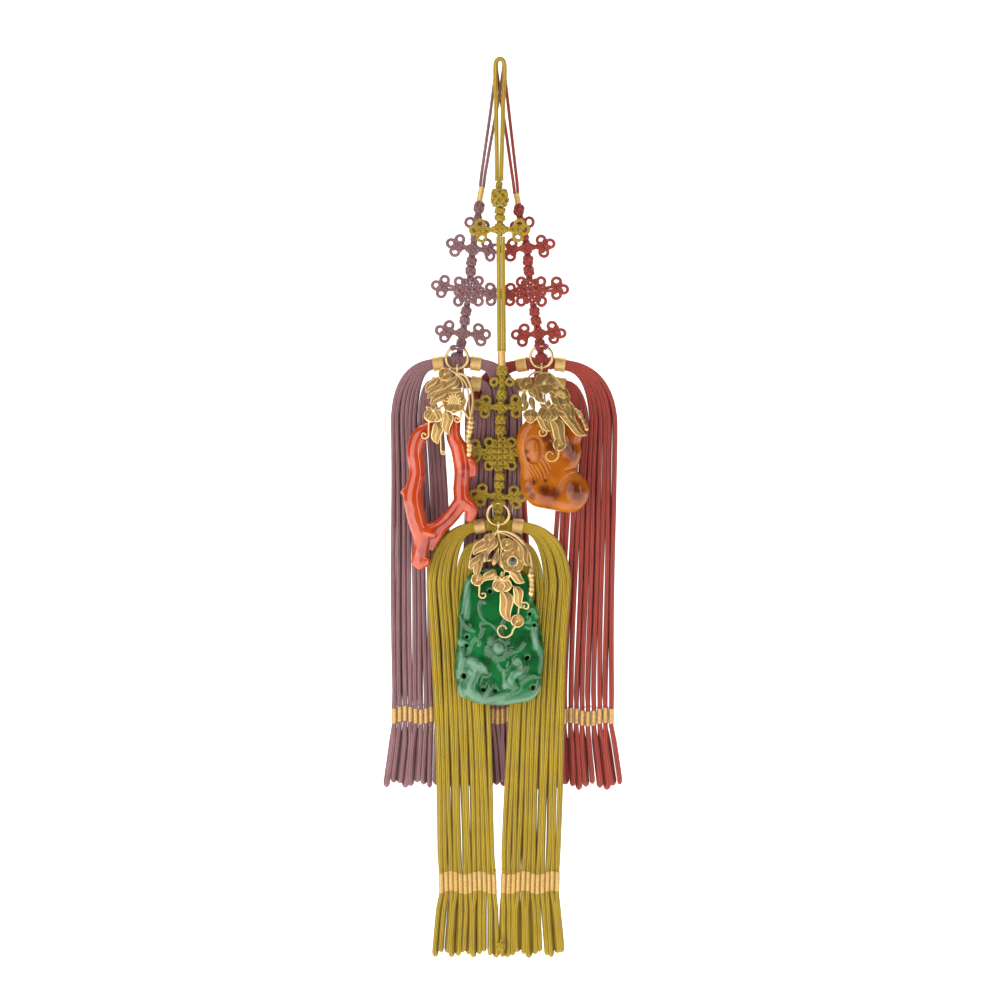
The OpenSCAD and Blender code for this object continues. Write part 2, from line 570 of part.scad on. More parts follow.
module coral_cap() {
    s = coral_slope;
    color(gold_colour) {
        hook(purple_ring_at, purple_y - ring_forward, s);
        vine(s, [[-19.1, -139.4], [-15.6, -140.2], [-12.9, -145], [-11.9, -151.5], [-12.6, -158]], 0.6, 0.8);
        vine(s, [[-19.1, -139.6], [-16.6, -143.5], [-16.2, -150.0], [-17.0, -156.0]], 0.45, 0.4);
        vine(s, [[-19.1, -139.6], [-21.5, -138.2], [-25, -139], [-28.5, -145], [-31, -153]], 0.45, 0.4);
        vine(s, [[-19.4, -140.0], [-20.6, -146.0], [-24.5, -152.5], [-29.0, -156.5]], 0.5, 0.5);
        vine(s, [[-21.5, -150.5], [-24.5, -157.0], [-26.5, -162.0], [-28.4, -165.0]], 0.45, 0.4);
        vine(s, [[-17.0, -153.5], [-15.0, -157.5], [-13.0, -160.5]], 0.5, 0.5);
        twig(s, [
            [-12.8, -157.0, 0.9], [-13.0, -161.5, 1.7], [-13.6, -165.5, 1.5], [-14.2, -168.5, 1.1],
            [-13.4, -171.5, 1.5], [-13.8, -175.4, 1.0]], 0.9);
        blossom(s, [-20.3, -151.7], 5.4, 8, 0);
        blossom(s, [-24.4, -139.6], 2.8);
        orchid(s, [-29.3, -156.8], 7.4, 5.0);
        leaf(s, [-20.9, -142.6], [-32.2, -150.6], 4.0);
        leaf(s, [-27.4, -141.2], [-32.6, -148.0], 3.2);
        leaf(s, [-23.9, -155.8], [-22.6, -166.6], 3.4);
        leaf(s, [-28.4, -161.4], [-27.4, -170.6], 3.6);
        leaf(s, [-19.0, -141.0], [-24.5, -147.5], 3.4);
        tendril(s, [-31.4, -158.0], [-33.4, -166.6], 2.0, 20, -300);
        tendril(s, [-26.4, -163.0], [-25.0, -174.2], 1.2, 150, 300);
        tendril(s, [-17.0, -155.4], [-19.0, -159.6], 1.6, 10, -300);
    }
}

module amber_cap() {
    s = amber_slope;
    color([0.72, 0.57, 0.30]) {
        hook(red_ring_at, red_y - ring_forward, s);
        vine(s, [
            [18.4, -139.2], [22.4, -139.6], [26.2, -143.6], [28.6, -147.6], [30.8, -152.2], [33.4, -156.8]],
            0.6, 0.6);
        vine(s, [[18.4, -139.4], [22.2, -141.6], [25.6, -145.4], [29.6, -152.0]], 0.45, 0.4);
        vine(s, [[21.6, -140.6], [17.6, -138.6], [13.8, -139.6], [11.8, -143.0], [10.9, -149.0]], 0.45, 0.4);
        vine(s, [
            [18.6, -139.6], [19.6, -145.0], [19.8, -151.0], [21.3, -155.6], [23.4, -160.0], [26.0, -166.0]],
            0.5, 0.4);
        vine(s, [[26.6, -149.8], [24.6, -154.6], [21.3, -156.0], [16.0, -157.6], [13.2, -156.0]], 0.5, 0.4);
        vine(s, [[24.0, -155.4], [28.0, -159.4], [33.0, -161.6]], 0.45, 0.4);
        vine(s, [[19.9, -151.4], [16.0, -149.4], [12.4, -147.2]], 0.45, 0.4);
        vine(s, [[16.8, -156.8], [18.0, -160.0], [20.6, -162.6]], 0.45, 0.35);
        twig(s, [[33.0, -155.6, 0.9], [35.0, -157.6, 1.3], [36.6, -160.4, 1.0], [38.0, -163.8, 1.1]], 0.9);
        blossom(s, [19.8, -143.6], 5.0, 5, 60);
        blossom(s, [11.6, -144.0], 2.8);
        blossom(s, [26.6, -149.8], 4.4, 8, 0);
        blossom(s, [26.2, -170.8], 2.7);
        orchid(s, [21.4, -155.6], 7.6, 5.6);
        leaf(s, [13.6, -156.0], [13.4, -162.0], 4.6);
        pod(s, [19.0, -150.8], [12.6, -146.8], 1.6);
        pod(s, [11.0, -156.0], [10.5, -147.6], 1.3);
        pod(s, [15.6, -157.2], [13.4, -149.8], 1.4);
        leaf(s, [16.4, -158.2], [22.6, -164.8], 3.4);
        leaf(s, [22.4, -159.4], [29.6, -171.4], 4.4);
        leaf(s, [24.4, -155.6], [34.8, -162.0], 3.6);
        leaf(s, [28.2, -160.0], [38.2, -166.8], 3.2);
        tendril(s, [21.4, -160.4], [18.6, -165.4], 2.0, -10, -290);
        tendril(s, [26.2, -171.4], [22.4, -175.4], 3.5, 10, -290);
    }
}

module jade_cap() {
    s = jade_slope;
    color(gold_colour) {
        hook(olive_ring_at, olive_y - ring_forward, s);
        vine(s, [[-0.8, -209.2], [3.6, -209.6], [9.0, -213.0], [13.0, -218.5], [14.4, -226.0]], 0.6, 0.8);
        vine(s, [[-0.8, -209.4], [-4.9, -211.2], [-10, -214.6], [-12.6, -218.4], [-13.8, -225.4]], 0.5, 0.4);
        vine(s, [[-0.8, -209.4], [0.2, -214.0], [3.0, -219.0], [5.6, -222.3]], 0.5, 0.5);
        vine(s, [[-2.0, -210.4], [-6.0, -216.0], [-9.6, -222.0], [-10.6, -229.0]], 0.45, 0.4);
        vine(s, [[4.6, -222.0], [2.0, -227.0], [0.9, -231.6], [1.6, -238.0]], 0.5, 0.4);
        vine(s, [[3.0, -232.0], [7.2, -234.4], [8.6, -239.0], [7.9, -246.4]], 0.4, 0.35);
        vine(s, [[7.6, -221.0], [11.4, -222.0], [14.0, -225.0]], 0.45, 0.5);
        vine(s, [[-10.0, -223.0], [-5.0, -222.0], [0.8, -221.0]], 0.45, 0.45);
        twig(s, [[14.2, -224.6, 1.0], [13.6, -228.6, 1.5], [14.0, -231.6, 1.1], [13.6, -236.8, 1.2]], 0.9);
        blossom(s, [5.6, -222.3], 5.4, 8, 0);
        blossom(s, [-4.7, -212.8], 2.5);
        blossom(s, [3.1, -215.0], 2.7);
        blossom(s, [-10.0, -230.4], 2.6);
        blossom(s, [7.7, -248.6], 2.7);
        orchid(s, [0.9, -231.4], 7.0, 5.2);
        pod(s, [-0.6, -216.6], [-3.0, -224.0], 1.4);
        pod(s, [0.4, -216.6], [0.8, -225.0], 1.3);
        pod(s, [-5.6, -216.0], [-7.0, -222.6], 1.3);
        leaf(s, [-5.4, -212.2], [-11.6, -219.6], 3.6);
        leaf(s, [-8.4, -219.6], [-13.2, -226.0], 3.2);
        leaf(s, [-10.6, -221.0], [-9.2, -229.4], 2.8);
        leaf(s, [0.9, -236.4], [4.6, -249.0], 4.6);
        leaf(s, [7.0, -234.4], [9.8, -243.0], 3.2);
        tendril(s, [-9.0, -231.6], [-7.4, -237.0], 2.0, 150, 290);
        tendril(s, [8.2, -239.0], [11.2, -242.2], 1.9, 120, -290);
        tendril(s, [7.6, -250.0], [1.6, -252.4], 4.2, 0, -290);
    }
}

// Each piece by its name

color(olive_colour) sweep(olive_loop_route, [cord_d / 2], [cord_d / 2], 8);  // hang_loop_olive
color(purple_colour) sweep(purple_loop_route, [thin_cord_d / 2], [thin_cord_d / 2], 8);  // hang_loop_purple
color(red_colour) sweep(red_loop_route, [thin_cord_d / 2], [thin_cord_d / 2], 8);  // hang_loop_red
color(thread_colour) bar([-8.1, purple_y, -56.5], [-9.1, purple_y, -62.0], 1.25);  // purple_top_wrap
color(thread_colour) bar([7.3, red_y, -59.3], [8.0, red_y, -63.0], 1.25);  // red_top_wrap

color(olive_colour) {  // olive_bud_knot
    translate([-0.4, olive_y, -55.6]) sphere(r = 1.9, $fn = 40);
    barrel([-0.3, olive_y, -57.2], [0, olive_y, -65.4], 4.6, 3);
    barrel([0, olive_y, -65.4], [0, olive_y, -71.6], 2.7, 2);
}
color(olive_colour)  // olive_crown_knot
    row_knot([0, olive_y, -75.0], 3.1, [
        [-8.4, -75.8, [98, 172, 276]],
        [8.2, -75.6, [82, 6, 264]]]);
color(olive_colour)  // olive_straight_cords
    for (out = [-1, 1] * (cord_d + 0.1) / 2)
        bar([0.3 + out, olive_y, -78.4], [0.7 + out, olive_y, -129.4], cord_d / 2);
color(thread_colour) bar([0.7, olive_y, -129.6], [0.8, olive_y, -135.4], 1.6);  // olive_mid_wrap

color(purple_colour) translate([-9.3, purple_y, -65.1]) sphere(r = 2.9, $fn = 48);  // purple_button_knot
color(purple_colour) {  // purple_neck_knot
    barrel([-9.7, purple_y, -68.3], [-11.6, purple_y, -80.4], 1.9, 4);
    for (p = [[-13.4, -71.8], [-7.0, -73.4]]) loop_xz([p.x, purple_y, p.y], 1.9, knot_loop_cord_d / 2);
}
color(purple_colour)  // purple_row_1
    row_knot([-12.0, purple_y, -83.8], 3.0, [
        [-18.9, -82.2, [70, 160, 245]],
        [-4.9, -84.0, [110, 10, 280]]]);
color(purple_colour) barrel([-12.5, purple_y, -87.2], [-13.2, purple_y, -95.6], 2.7, 3);  // purple_barrel_1
color(purple_colour)  // purple_row_2
    diamond_knot([-13.8, purple_y, -102.4], 6.4, 7,
        [[-18.2, -98.3], [-9.6, -97.9], [-18.6, -106.9], [-9.6, -106.9]],
        [[-25.4, -100.4, [75, 170, 255]], [-3.8, -103.8, [100, 5, 265]]]);
color(purple_colour) barrel([-14.8, purple_y, -109.4], [-16.0, purple_y, -117.6], 2.7, 3);  // purple_barrel_2
color(purple_colour) {  // purple_row_3
    row_knot([-16.6, purple_y, -121.2], 3.0, [
        [-23.7, -120.4, [70, 170, 250]],
        [-9.3, -121.9, [95, 5, 285]]]);
    barrel([-17.0, purple_y, -123.6], [-17.8, purple_y, -129.0], 2.6, 2);
}

color(red_colour) translate([8.4, red_y, -66.2]) sphere(r = 2.9, $fn = 48);  // red_button_knot
color(red_colour) {  // red_neck_knot
    barrel([8.9, red_y, -69.4], [11.4, red_y, -79.6], 1.9, 4);
    for (p = [[13.0, -71.6], [6.8, -73.6]]) loop_xz([p.x, red_y, p.y], 1.9, knot_loop_cord_d / 2);
}
color(red_colour)  // red_row_1
    row_knot([12.0, red_y, -83.0], 3.1, [
        [19.5, -82.2, [115, 20, 270]],
        [4.9, -84.0, [80, 170, 265]]]);
color(red_colour) barrel([12.3, red_y, -86.4], [13.0, red_y, -95.6], 2.7, 3);  // red_barrel_1
color(red_colour)  // red_row_2
    diamond_knot([13.8, red_y, -102.4], 6.4, -7,
        [[18.2, -98.1], [9.4, -98.2], [18.6, -106.9], [9.4, -106.8]],
        [[25.4, -101.0, [95, -10, 265]], [4.1, -103.8, [80, 175, 275]]]);
color(red_colour) barrel([15.0, red_y, -109.4], [16.4, red_y, -117.6], 2.7, 3);  // red_barrel_2
color(red_colour) {  // red_row_3
    row_knot([17.2, red_y, -121.2], 3.0, [
        [24.2, -120.6, [110, -10, 265]],
        [10.2, -121.9, [80, 175, 265]]]);
    barrel([17.4, red_y, -123.6], [18.0, red_y, -129.0], 2.6, 2);
}

color(olive_colour) barrel([0.8, olive_y, -135.6], [0.9, olive_y, -140.2], 2.7, 2);  // olive_barrel_1
color(olive_colour)  // olive_pair_knot
    cluster([0.9, olive_y, -143.2], 2.6, [5, 175]);
color(olive_colour) barrel([0.9, olive_y, -146.1], [0.6, olive_y, -151.0], 2.7, 2);  // olive_barrel_2
color(olive_colour)  // olive_row_1
    row_knot([0.4, olive_y, -154.3], 2.5, [
        [-7.0, -153.7, [75, 165, 275]],
        [7.5, -153.7, [100, 10, 265]]]);
color(olive_colour) barrel([0.4, olive_y, -157.6], [0.2, olive_y, -166.4], 2.8, 4);  // olive_barrel_3
color(olive_colour)  // olive_diamond_knot
    diamond_knot([0.2, olive_y, -174.9], 7.6, 0,
        [[-4.8, -169.7], [5.2, -169.7], [-4.9, -179.9], [5.2, -179.9]],
        [[-10.6, -173.4, [100, 260]], [10.8, -174.4, [80, 280]]]);
color(olive_colour) barrel([0, olive_y, -183.2], [-0.5, olive_y, -190.4], 2.7, 3);  // olive_barrel_4
color(olive_colour) {  // olive_row_2
    row_knot([-0.8, olive_y, -193.8], 2.5, [
        [-8.4, -193.0, [80, 175, 265]],
        [6.5, -194.0, [95, 5, 280]]]);
    barrel([-0.8, olive_y, -196.0], [-0.7, olive_y, -201.2], 2.5, 2);
}

ring_tie(purple_ring_at, purple_y - ring_forward, purple_colour);  // purple_ring_tie
ring_tie(red_ring_at, red_y - ring_forward, red_colour);  // red_ring_tie
ring_tie(olive_ring_at, olive_y - ring_forward, olive_colour);  // olive_ring_tie
gold_ring(purple_ring_at, purple_y - ring_forward);  // purple_ring
gold_ring(red_ring_at, red_y - ring_forward);  // red_ring
gold_ring(olive_ring_at, olive_y - ring_forward);  // olive_ring

tassel(purple_form, purple_colour);  // purple_tassel
tassel(red_form, red_colour);  // red_tassel
tassel(olive_form, olive_colour);  // olive_tassel
head_wraps(purple_form);  // purple_head_wraps
head_wraps(red_form);  // red_head_wraps
head_wraps(olive_form);  // olive_head_wraps
leg_wraps(purple_form, -291, 7);  // purple_leg_wraps
leg_wraps(red_form, -292, 7);  // red_leg_wraps
leg_wraps(olive_form, -365, 9);  // olive_leg_wraps

coral_branch();
coral_cap();
amber();
amber_cap();
jade();
jade_cap();
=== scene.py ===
"""Looks of the three-strand norigae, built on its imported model."""
import math
import random

import bmesh
import bpy
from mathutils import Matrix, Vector
from mathutils.kdtree import KDTree


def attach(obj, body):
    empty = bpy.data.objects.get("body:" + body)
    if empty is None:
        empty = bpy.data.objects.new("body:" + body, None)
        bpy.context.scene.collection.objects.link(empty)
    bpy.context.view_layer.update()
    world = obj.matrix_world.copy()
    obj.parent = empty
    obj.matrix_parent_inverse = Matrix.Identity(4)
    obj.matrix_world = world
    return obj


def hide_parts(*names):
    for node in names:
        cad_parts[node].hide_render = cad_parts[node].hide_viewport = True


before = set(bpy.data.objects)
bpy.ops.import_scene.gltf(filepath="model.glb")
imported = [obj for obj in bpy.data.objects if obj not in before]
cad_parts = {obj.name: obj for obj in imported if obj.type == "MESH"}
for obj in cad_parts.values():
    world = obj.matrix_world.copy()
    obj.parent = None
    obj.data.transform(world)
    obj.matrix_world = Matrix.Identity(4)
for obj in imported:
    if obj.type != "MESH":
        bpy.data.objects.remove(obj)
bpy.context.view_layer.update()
bpy.ops.object.select_all(action="DESELECT")

# Studio
# The ornament hangs free over a pale floor that sweeps up behind it, as in a small photo studio.
# The camera looks straight along +Y through a long lens, at the scale of the photograph's full view.
MM = 0.001
VIEW_WIDTH = 444.4 * MM
CAMERA_AWAY = 2.0
MIDDLE_Z = -195.3 * MM
bpy.ops.object.camera_add(location=(0, -CAMERA_AWAY, MIDDLE_Z), rotation=(math.pi / 2, 0, 0))
camera = bpy.context.object
camera.data.sensor_width = 36
camera.data.lens = camera.data.sensor_width * CAMERA_AWAY / VIEW_WIDTH
bpy.context.scene.camera = camera


def paint(red, green, blue):
    """A colour as it looks on screen, from 0 to 255, turned into the numbers that light is worked out in."""
    return tuple((c / 255) ** 2.2 for c in (red, green, blue)) + (1.0,)


def select_only(piece):
    bpy.ops.object.select_all(action="DESELECT")
    piece.select_set(True)
    bpy.context.view_layer.objects.active = piece


def edit(piece):
    select_only(piece)
    bpy.ops.object.mode_set(mode="EDIT")


def select_where(piece, wanted):
    """Selects the vertices of the piece in edit mode for which wanted(place) is true."""
    bpy.ops.mesh.select_mode(type="VERT")
    bpy.ops.mesh.select_all(action="DESELECT")
    mesh = bmesh.from_edit_mesh(piece.data)
    for vertex in mesh.verts:
        vertex.select = wanted(vertex.co)
    mesh.select_flush(True)
    bmesh.update_edit_mesh(piece.data)


def new_material(name, values):
    """Material whose shader inputs have the given values, with its node tree and shader."""
    material = bpy.data.materials.new(name)
    material.use_nodes = True
    shader = material.node_tree.nodes["Principled BSDF"]
    for socket, value in values.items():
        shader.inputs[socket].default_value = value
    return material, material.node_tree, shader


FLOOR_Z = -0.425
FLOOR_SIZE = 6.0
bpy.ops.mesh.primitive_plane_add(size=FLOOR_SIZE, location=(0, 0, FLOOR_Z))
floor = bpy.context.object
floor.name = "floor"
edit(floor)
select_where(floor, lambda place: place.y > FLOOR_SIZE * 0.4)
bpy.ops.mesh.extrude_region_move(TRANSFORM_OT_translate={"value": (0, 0, FLOOR_SIZE)})
select_where(floor, lambda place: place.y > FLOOR_SIZE * 0.4 and place.z < 1)
bpy.ops.mesh.bevel(offset=1.2, segments=16)
bpy.ops.object.mode_set(mode="OBJECT")
bpy.ops.object.shade_smooth()
floor.data.materials.append(new_material("pale floor", {
    "Base Color": paint(250, 250, 250), "Roughness": 0.9, "Emission Color": (1, 1, 1, 1),
    "Emission Strength": 0.75})[0])


def give(tree, socket, value):
    """Sets an input to a value, or links it to the output that makes its value."""
    if isinstance(value, bpy.types.NodeSocket):
        tree.links.new(value, socket)
    else:
        socket.default_value = value


def number(tree, operation, first, second=0.0):
    """Output of a math node of the given operation on two outputs or numbers."""
    node = tree.nodes.new("ShaderNodeMath")
    node.operation = operation
    give(tree, node.inputs[0], first)
    give(tree, node.inputs[1], second)
    return node.outputs[0]


# Each light: width, height, power, place, and the turns about X and Z that aim it at the ornament
LIGHTS = {
    "left softbox": (1.6, 1.8, 19, (-0.95, -1.05, 0.15), (80, -42)),
    "right softbox": (0.4, 1.3, 5, (1.25, -1.15, 0.1), (82, 48)),
    "top softbox": (1.4, 1.0, 6, (0, -0.3, 1.5), (10, 0)),
    "backdrop light": (2.5, 1.2, 45, (0, 0.9, 1.6), (-35, 0)),
}
for name, (width, height, power, place, (tip, turn)) in LIGHTS.items():
    bpy.ops.object.light_add(type="AREA", location=place, rotation=(math.radians(tip), 0, math.radians(turn)))
    light = bpy.context.object
    light.name = name
    light.data.shape = "RECTANGLE"
    light.data.size = width
    light.data.size_y = height
    light.data.energy = power
world = bpy.data.worlds.new("studio")
world.use_nodes = True
world.node_tree.nodes["Background"].inputs["Color"].default_value = (1, 1, 1, 1)
# The camera sees the world as white, like the backdrop. The world lights the ornament only faintly, and
# gold and polished stone mirror a darker room, which leaves them their depth between the lights.
ROOM_LIGHT = 0.18
ROOM_MIRRORED = 0.03
room = world.node_tree
seen_by = room.nodes.new("ShaderNodeLightPath")
for_camera = number(room, "MULTIPLY", seen_by.outputs["Is Camera Ray"], 1 - ROOM_LIGHT)
for_gloss = number(room, "MULTIPLY", seen_by.outputs["Is Glossy Ray"], ROOM_MIRRORED - ROOM_LIGHT)
give(room, room.nodes["Background"].inputs["Strength"],
     number(room, "ADD", number(room, "ADD", for_camera, for_gloss), ROOM_LIGHT))
bpy.context.scene.world = world
bpy.context.scene.view_settings.view_transform = "Standard"

# Hanging loops
# Each strand hangs by a loop of round braided silk cord: eight yarns that cross in slanted stitches,
# so that the cord shows columns of small V shapes. The side strands' loops are of a thinner cord.
STITCH = 0.84
CORD_R = 0.95
THIN_CORD_R = 0.7
BRAID_COLUMNS = 8


def new_group(name, inputs, outputs):
    """Empty shader node group, with its input and output nodes."""
    group = bpy.data.node_groups.new(name, "ShaderNodeTree")
    for socket, kind in inputs.items():
        group.interface.new_socket(socket, in_out="INPUT", socket_type=kind)
    for socket, kind in outputs.items():
        group.interface.new_socket(socket, in_out="OUTPUT", socket_type=kind)
    return group, group.nodes.new("NodeGroupInput"), group.nodes.new("NodeGroupOutput")


def placed(tree, group, values):
    """Puts a node group in a material, with a value or an output for each of its inputs."""
    node = tree.nodes.new("ShaderNodeGroup")
    node.node_tree = group
    for name, value in values.items():
        give(tree, node.inputs[name], value)
    return node


def noise(tree, vector, scale, detail, distortion=0.0):
    """Output of a cloudy noise read at the vector."""
    node = tree.nodes.new("ShaderNodeTexNoise")
    for name, value in (("Vector", vector), ("Scale", scale), ("Detail", detail), ("Distortion", distortion)):
        give(tree, node.inputs[name], value)
    return node.outputs["Fac"]


def blend(tree, amount, first, second):
    """Colour that goes from the first to the second as the amount goes from 0 to 1."""
    node = tree.nodes.new("ShaderNodeMix")
    node.data_type = "RGBA"
    for name, value in (("Factor", amount), ("A", first), ("B", second)):
        give(tree, node.inputs[name], value)
    return node.outputs["Result"]


def object_place(tree):
    return tree.nodes.new("ShaderNodeTexCoord").outputs["Object"]


def raise_surface(tree, shader, height, strength, distance):
    """Fine relief from a height, at most the distance in millimetres."""
    bump = tree.nodes.new("ShaderNodeBump")
    for name, value in (("Height", height), ("Strength", strength), ("Distance", distance * MM)):
        give(tree, bump.inputs[name], value)
    tree.links.new(bump.outputs["Normal"], shader.inputs["Normal"])


# The braid reads a UV map that counts stitches along the cord and turns round it
braid, braid_in, braid_out = new_group(
    "round braid",
    {"UV": "NodeSocketVector", "Place": "NodeSocketVector"},
    {"Light": "NodeSocketFloat", "Relief": "NodeSocketFloat"})
split = braid.nodes.new("ShaderNodeSeparateXYZ")
braid.links.new(braid_in.outputs["UV"], split.inputs[0])
around = number(braid, "MULTIPLY", split.outputs["Y"], BRAID_COLUMNS)
in_column = number(braid, "FRACT", around)
is_odd = number(braid, "MODULO", number(braid, "FLOOR", around), 2.0)
slant = number(braid, "SUBTRACT", 1.0, number(braid, "MULTIPLY", is_odd, 2.0))
shift = number(braid, "MULTIPLY", slant, number(braid, "SUBTRACT", in_column, 0.5))
in_stitch = number(braid, "FRACT", number(braid, "ADD", split.outputs["X"], shift))
crown_along = number(braid, "SINE", number(braid, "MULTIPLY", in_stitch, math.pi))
crown_across = number(braid, "SINE", number(braid, "MULTIPLY", in_column, math.pi))
crown = number(braid, "MULTIPLY", number(braid, "POWER", crown_along, 1.1),
               number(braid, "POWER", crown_across, 0.7))
# The silk has faded a little in patches, and fine filaments run along each stitch
faded = number(braid, "ADD", 0.72, number(braid, "MULTIPLY", noise(
    braid, braid_in.outputs["Place"], 90, 3), 0.5))
filaments = number(braid, "SINE", number(braid, "MULTIPLY", in_stitch, 28.0))
# Light is painted light on the stitches' crowns; where it is low, in the grooves between them, the colour is
# painted shade
braid.links.new(number(braid, "MULTIPLY", crown, faded), braid_out.inputs["Light"])
braid.links.new(number(braid, "ADD", crown, number(braid, "MULTIPLY", filaments, 0.06)),
                braid_out.inputs["Relief"])


def silk(name, dark, light):
    """Braided silk: painted shade between the stitches and painted light on their crowns."""
    material, tree, shader = new_material(name, {
        "Roughness": 0.58, "Sheen Weight": 0.1, "Sheen Roughness": 0.4, "Specular IOR Level": 0.35})
    uv = tree.nodes.new("ShaderNodeUVMap")
    uv.uv_map = "UVMap"
    stitches = placed(tree, braid, {"UV": uv.outputs["UV"], "Place": object_place(tree)})
    give(tree, shader.inputs["Base Color"], blend(tree, stitches.outputs["Light"], dark, light))
    raise_surface(tree, shader, stitches.outputs["Relief"], 0.9, 0.22)
    return material


# Each silk: the colour of the painted shade between its stitches, then the colour of the painted light on
# their crowns
SILKS = {
    "purple": silk("purple silk", paint(40, 22, 24), paint(204, 148, 152)),
    "red": silk("red silk", paint(52, 10, 10), paint(226, 92, 76)),
    "olive": silk("olive silk", paint(52, 34, 4), paint(244, 204, 56)),
}


def even(points, step, closed=False):
    """Points about a step apart along a smooth line through the given ones."""
    points = [Vector(point) for point in points]
    count = len(points)
    fine = []
    for i in range(count if closed else count - 1):
        if closed:
            a, b, c, d = (points[(i + k) % count] for k in (-1, 0, 1, 2))
        else:
            a, b, c, d = (points[min(max(i + k, 0), count - 1)] for k in (-1, 0, 1, 2))
        for k in range(8):
            t = k / 8
            fine.append(0.5 * (2 * b + (c - a) * t + (2 * a - 5 * b + 4 * c - d) * t * t
                               + (3 * b - a - 3 * c + d) * t ** 3))
    fine.append(fine[0] if closed else points[-1])
    reach = [0.0]
    for a, b in zip(fine, fine[1:]):
        reach.append(reach[-1] + (b - a).length)
    gaps = max(2, round(reach[-1] / step))
    route, k = [], 0
    for i in range(gaps + (0 if closed else 1)):
        want = reach[-1] * i / gaps
        while k < len(fine) - 2 and reach[k + 1] < want:
            k += 1
        part = (want - reach[k]) / max(reach[k + 1] - reach[k], 1e-9)
        route.append(fine[k].lerp(fine[k + 1], min(part, 1.0)))
    return route


def tubes(name, routes, radius, closed=False, stitch=STITCH, roundness=2, swell=None):
    """Round cords along routes of even points in millimetres, as one mesh in metres.

    swell gives each route's radii as parts of the full one. The UV map counts stitches along each cord.
    """
    curve = bpy.data.curves.new(name, "CURVE")
    curve.dimensions = "3D"
    curve.bevel_depth = radius * MM
    curve.bevel_resolution = roundness
    curve.use_fill_caps = True
    for i, route in enumerate(routes):
        spline = curve.splines.new("POLY")
        spline.points.add(len(route) - 1)
        spline.points.foreach_set("co", [c for p in route for c in (p[0] * MM, p[1] * MM, p[2] * MM, 1.0)])
        if swell:
            spline.points.foreach_set("radius", swell[i])
        spline.use_cyclic_u = closed
    piece = bpy.data.objects.new(name, curve)
    bpy.context.collection.objects.link(piece)
    select_only(piece)
    bpy.ops.object.convert(target="MESH")
    bpy.ops.object.shade_smooth()
    # The curve's own map runs evenly from point to point, and this one by length along the cord
    layer = piece.data.uv_layers[0].data
    flat = [0.0] * (2 * len(layer))
    layer.foreach_get("uv", flat)
    sides = 4 + 2 * roundness
    gap_counts = [len(route) - (0 if closed else 1) for route in routes]
    corner = len(layer) - 4 * sides * sum(gap_counts)
    for route, gaps in zip(routes, gap_counts):
        reach = [0.0]
        for k in range(gaps):
            reach.append(reach[-1] + (Vector(route[(k + 1) % len(route)]) - Vector(route[k])).length)
        scale = max(1, round(reach[-1] / stitch)) / reach[-1]
        for i in range(corner, corner + 4 * sides * gaps):
            flat[2 * i] = reach[round(flat[2 * i] * gaps)] * scale
        corner += 4 * sides * gaps
    layer.foreach_set("uv", flat)
    return piece


def joined(name, pieces):
    """The pieces as one object."""
    bpy.ops.object.select_all(action="DESELECT")
    for piece in pieces:
        piece.select_set(True)
    bpy.context.view_layer.objects.active = pieces[0]
    if len(pieces) > 1:
        bpy.ops.object.join()
    whole = bpy.context.view_layer.objects.active
    whole.name = name
    whole.data.name = name
    return whole


def settle(piece, material, slot, body, *nodes):
    """Gives a finished piece its material, and says what it rides on and what it stands for."""
    piece.data.materials.clear()
    piece.data.materials.append(material)
    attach(piece, body)
    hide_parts(*nodes)


# Routes of the loops from one end over the top to the other
LOOP_ROUTES = {
    "olive": [
        (-1.4, -2.6, -53.6), (-1.4, -2.5, -50), (-1.4, -2.2, -45), (-1.5, -1.9, -38), (-1.6, -1.5, -31),
        (-1.7, -1.1, -24), (-1.8, -0.7, -17), (-2.0, -0.3, -10), (-2.1, -0.1, -6), (-2.1, 0, -3),
        (-1.9, 0, -0.9), (-1.2, 0, 0.5), (0, 0, 1.0), (1.2, 0, 0.5), (1.9, 0, -0.9), (2.1, 0, -3),
        (2.1, -0.1, -6), (1.9, -0.3, -10), (1.5, -0.7, -17), (1.3, -1.1, -24), (1.1, -1.5, -31),
        (0.9, -1.9, -38), (0.7, -2.2, -45), (0.6, -2.5, -50), (0.6, -2.6, -53.6)],
    "purple": [
        (-8.8, 1.7, -56.2), (-8.3, 1.8, -51), (-7.3, 1.9, -44), (-6.3, 2.0, -37), (-5.3, 2.0, -30),
        (-4.3, 2.0, -23), (-3.4, 2.0, -16), (-2.5, 2.0, -9), (-1.9, 2.0, -4), (-1.7, 2.0, -1.6),
        (-1.2, 2.0, 0.2), (0, 2.0, 0.8), (1.2, 2.0, 0.2), (1.6, 2.0, -1.6), (1.4, 2.0, -4),
        (0.7, 2.0, -9), (-0.4, 2.0, -16), (-1.7, 2.0, -23), (-3.0, 2.0, -30), (-4.3, 2.0, -37),
        (-5.5, 1.9, -44), (-6.7, 1.8, -51), (-7.3, 1.7, -56.2)],
    "red": [
        (6.5, 3.6, -59.0), (5.9, 3.6, -54), (4.9, 3.6, -47), (3.9, 3.7, -40), (2.9, 3.7, -33),
        (1.8, 3.7, -26), (0.7, 3.7, -19), (-0.4, 3.7, -12), (-1.2, 3.7, -6), (-1.6, 3.7, -2.2),
        (-1.2, 3.7, 0.2), (0, 3.7, 0.8), (1.2, 3.7, 0.2), (1.7, 3.7, -2.2), (2.1, 3.7, -6),
        (2.8, 3.7, -12), (3.6, 3.7, -19), (4.4, 3.7, -26), (5.2, 3.7, -33), (6.0, 3.7, -40),
        (6.8, 3.6, -47), (7.6, 3.6, -54), (8.0, 3.6, -59.0)],
}
